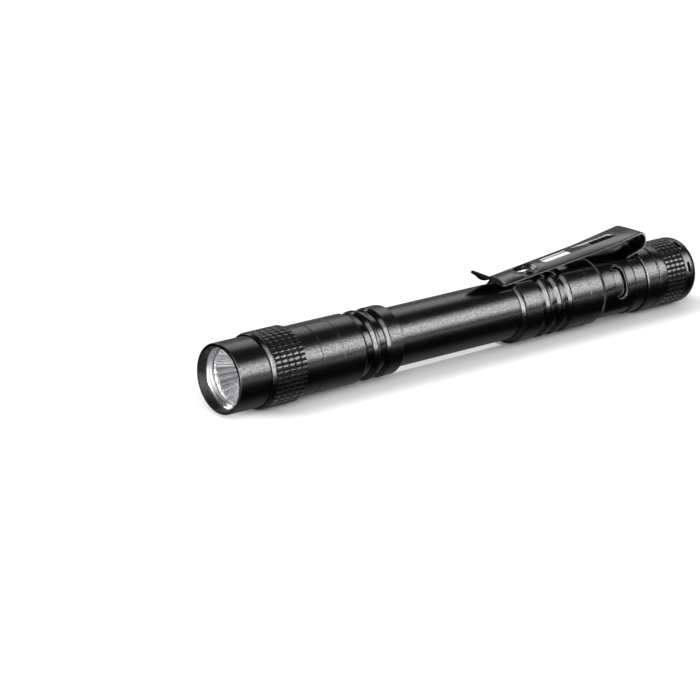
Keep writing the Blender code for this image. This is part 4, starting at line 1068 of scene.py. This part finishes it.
# What polished metal sees of the room: a card behind the light, one in front and little else.
# The camera and the lens see plain white.
card = combine(
    tree, "MULTIPLY", ramp(tree, sideways, 0.08, 0.28), ramp(tree, upwards, 0.71, 0.83, 1.0, 0.0),
)
card = combine(tree, "MULTIPLY", card, ramp(tree, upwards, 0.38, 0.66, 0.18, 1.7))
card = combine(tree, "MULTIPLY", card, ramp(tree, along, 0.05, 0.35))
front_card = ramp(tree, along, -0.97, -0.87, 0.8, 0.0)
mirrored = combine(tree, "ADD", combine(tree, "ADD", card, front_card), 0.06)
seen = combine(tree, "MAXIMUM", rays.outputs["Is Camera Ray"], rays.outputs["Is Transmission Ray"])
strength = choose(tree, rays.outputs["Is Glossy Ray"], 1.0, mirrored)
tree.links.new(combine(tree, "MAXIMUM", seen, strength), background.inputs["Strength"])


MIDDLE = Vector((0.0, 0.0, AXIS))


def softbox(name, distance, way, width, height, radiance):
    """A rectangular lamp that faces the middle of the light, its power set by how bright its face looks."""
    data = bpy.data.lights.new(name, "AREA")
    data.shape = "RECTANGLE"
    data.size = width
    data.size_y = height
    data.energy = radiance * math.pi * width * height
    lamp = bpy.data.objects.new(name, data)
    centre = MIDDLE + distance * Vector(way)
    lamp.location = centre
    lamp.rotation_euler = (MIDDLE - centre).to_track_quat("-Z", "Y").to_euler()
    bpy.context.scene.collection.objects.link(lamp)


softbox("near_softbox", 0.62, (0.611, -0.67, 0.395), 0.5, 0.225, 3.9)
softbox("near_diffuser", 0.64, (0.611, -0.68, 0.4), 0.56, 0.4, 2.5)
softbox("far_softbox", 0.62, (-0.3, 0.8, 0.5), 0.4, 0.25, 3.0)
softbox("side_softbox", 0.62, (-0.48, -0.79, 0.38), 0.62, 0.52, 8.0)
softbox("front_softbox", 0.62, (-0.84, -0.5, 0.14), 0.2, 0.24, 7.0)
softbox("top_softbox", 0.7, (-0.4, -0.38, 0.83), 0.5, 0.36, 2.6)

table, table_shader = plain_finish("white_table", (0.8, 0.8, 0.8), 0.14)
table_tree = table.node_tree
vary_roughness(table, table_shader, 8.0, 2.0, 0.12, 0.17)
table_rays = table_tree.nodes.new("ShaderNodeLightPath")
table_place = table_tree.nodes.new("ShaderNodeTexCoord")
table_axes = table_tree.nodes.new("ShaderNodeSeparateXYZ")
table_tree.links.new(table_place.outputs["Object"], table_axes.inputs["Vector"])
table_x = table_axes.outputs["X"]
table_y = table_axes.outputs["Y"]

# What polished metal sees of the table: painted shade, dark under the light and brighter towards the camera,
# and a painted pool of light before the lens.
near_tone = ramp(table_tree, table_y, -0.1, -0.018, 0.42, 0.008)
under_tone = combine(
    table_tree, "MULTIPLY",
    ramp(table_tree, table_y, -0.0105, -0.004, 0.0, 0.13), ramp(table_tree, table_y, 0.008, 0.018, 1.0, 0.0),
)
# A painted pool of light before the lens, seen only in reflections.
lens_veil_painted_light = combine(
    table_tree, "MULTIPLY",
    ramp(table_tree, table_x, -0.086, -0.076, 0.5, 0.0), ramp(table_tree, table_y, -0.002, 0.006, 1.0, 0.0),
)
shadow_tone = combine(table_tree, "ADD", combine(table_tree, "ADD", near_tone, under_tone), lens_veil_painted_light)
seen_in_metal = combine(
    table_tree, "SUBTRACT", table_rays.outputs["Is Glossy Ray"], table_rays.outputs["Is Transmission Ray"],
)
seen_in_metal = combine(table_tree, "MAXIMUM", seen_in_metal, 0.0)
table_tone = choose(table_tree, seen_in_metal, 0.44, shadow_tone)
table_tree.links.new(table_tone, table_shader.inputs["Base Color"])
table_tree.links.new(choose(table_tree, seen_in_metal, 0.5, 0.0), table_shader.inputs["Specular IOR Level"])

# What the camera sees of the table: white from a painted glow held back near the light, so that its real
# shadow shows there, narrowed by the glow; a painted strip of light lies under the grip.
past_end = combine(table_tree, "SUBTRACT", table_x, 0.006)
past_end = combine(table_tree, "ABSOLUTE", past_end, 0.0)
past_end = combine(table_tree, "MAXIMUM", combine(table_tree, "SUBTRACT", past_end, 0.056), 0.0)
reach = combine(
    table_tree, "ADD",
    combine(table_tree, "MULTIPLY", past_end, past_end), combine(table_tree, "MULTIPLY", table_y, table_y),
)
reach = combine(table_tree, "SQRT", reach, 0.0)
painted_glow_off_shadow = ramp(table_tree, reach, 0.0065, 0.0145, 0.0, 0.42)
# A painted strip of light on the table under the grip.
painted_light_under_grip = combine(
    table_tree, "MULTIPLY",
    between(table_tree, table_y, (-0.0008, 0.0002), (0.004, 0.007)),
    between(table_tree, table_x, (-0.0225, -0.0215), (0.0115, 0.0125)),
)
glow = combine(table_tree, "ADD", painted_glow_off_shadow, combine(table_tree, "MULTIPLY", painted_light_under_grip, 0.4))
glow = combine(table_tree, "ADD", glow, ramp(table_tree, reach, 0.1, 0.5, 0.0, 0.6))
table_shader.inputs["Emission Color"].default_value = (1.0, 1.0, 1.0, 1.0)
table_tree.links.new(
    combine(table_tree, "MULTIPLY", glow, table_rays.outputs["Is Camera Ray"]),
    table_shader.inputs["Emission Strength"],
)

# The light rests on its knurl and on the cap's rim, so the table is tilted to touch both.
FOOT_STATION = 12.0
FEET_APART = 118.0
TILT = math.atan2(AXIS / MM - CAP_TOP, FEET_APART)
floor = bmesh.new()
bmesh.ops.create_grid(floor, x_segments=4, y_segments=4, size=3.0)
floor_mesh = bpy.data.meshes.new("table_top")
floor_turn = Matrix.Rotation(-TILT, 4, "Y")
knurl_foot = Vector((LIP + FOOT_STATION * MM, 0.0, AXIS - (KNURL_TOP + 0.01) * MM))
floor.transform(Matrix.Translation(knurl_foot) @ floor_turn)
floor.to_mesh(floor_mesh)
floor.free()
floor_mesh.materials.append(table)
table_top = bpy.data.objects.new("table_top", floor_mesh)
bpy.context.scene.collection.objects.link(table_top)

CAMERA_PLACE = (-0.4206, -0.4681, 0.1948)
CAMERA_AIM = Vector((0.611, 0.735, -0.294))
camera_data = bpy.data.cameras.new("camera")
camera_data.sensor_width = 36.0
camera_data.lens = 154.3
camera_data.clip_start = 0.01
camera = bpy.data.objects.new("camera", camera_data)
camera.location = CAMERA_PLACE
camera.rotation_euler = CAMERA_AIM.to_track_quat("-Z", "Y").to_euler()
bpy.context.scene.collection.objects.link(camera)
bpy.context.scene.camera = camera
bpy.context.scene.view_settings.view_transform = "Standard"
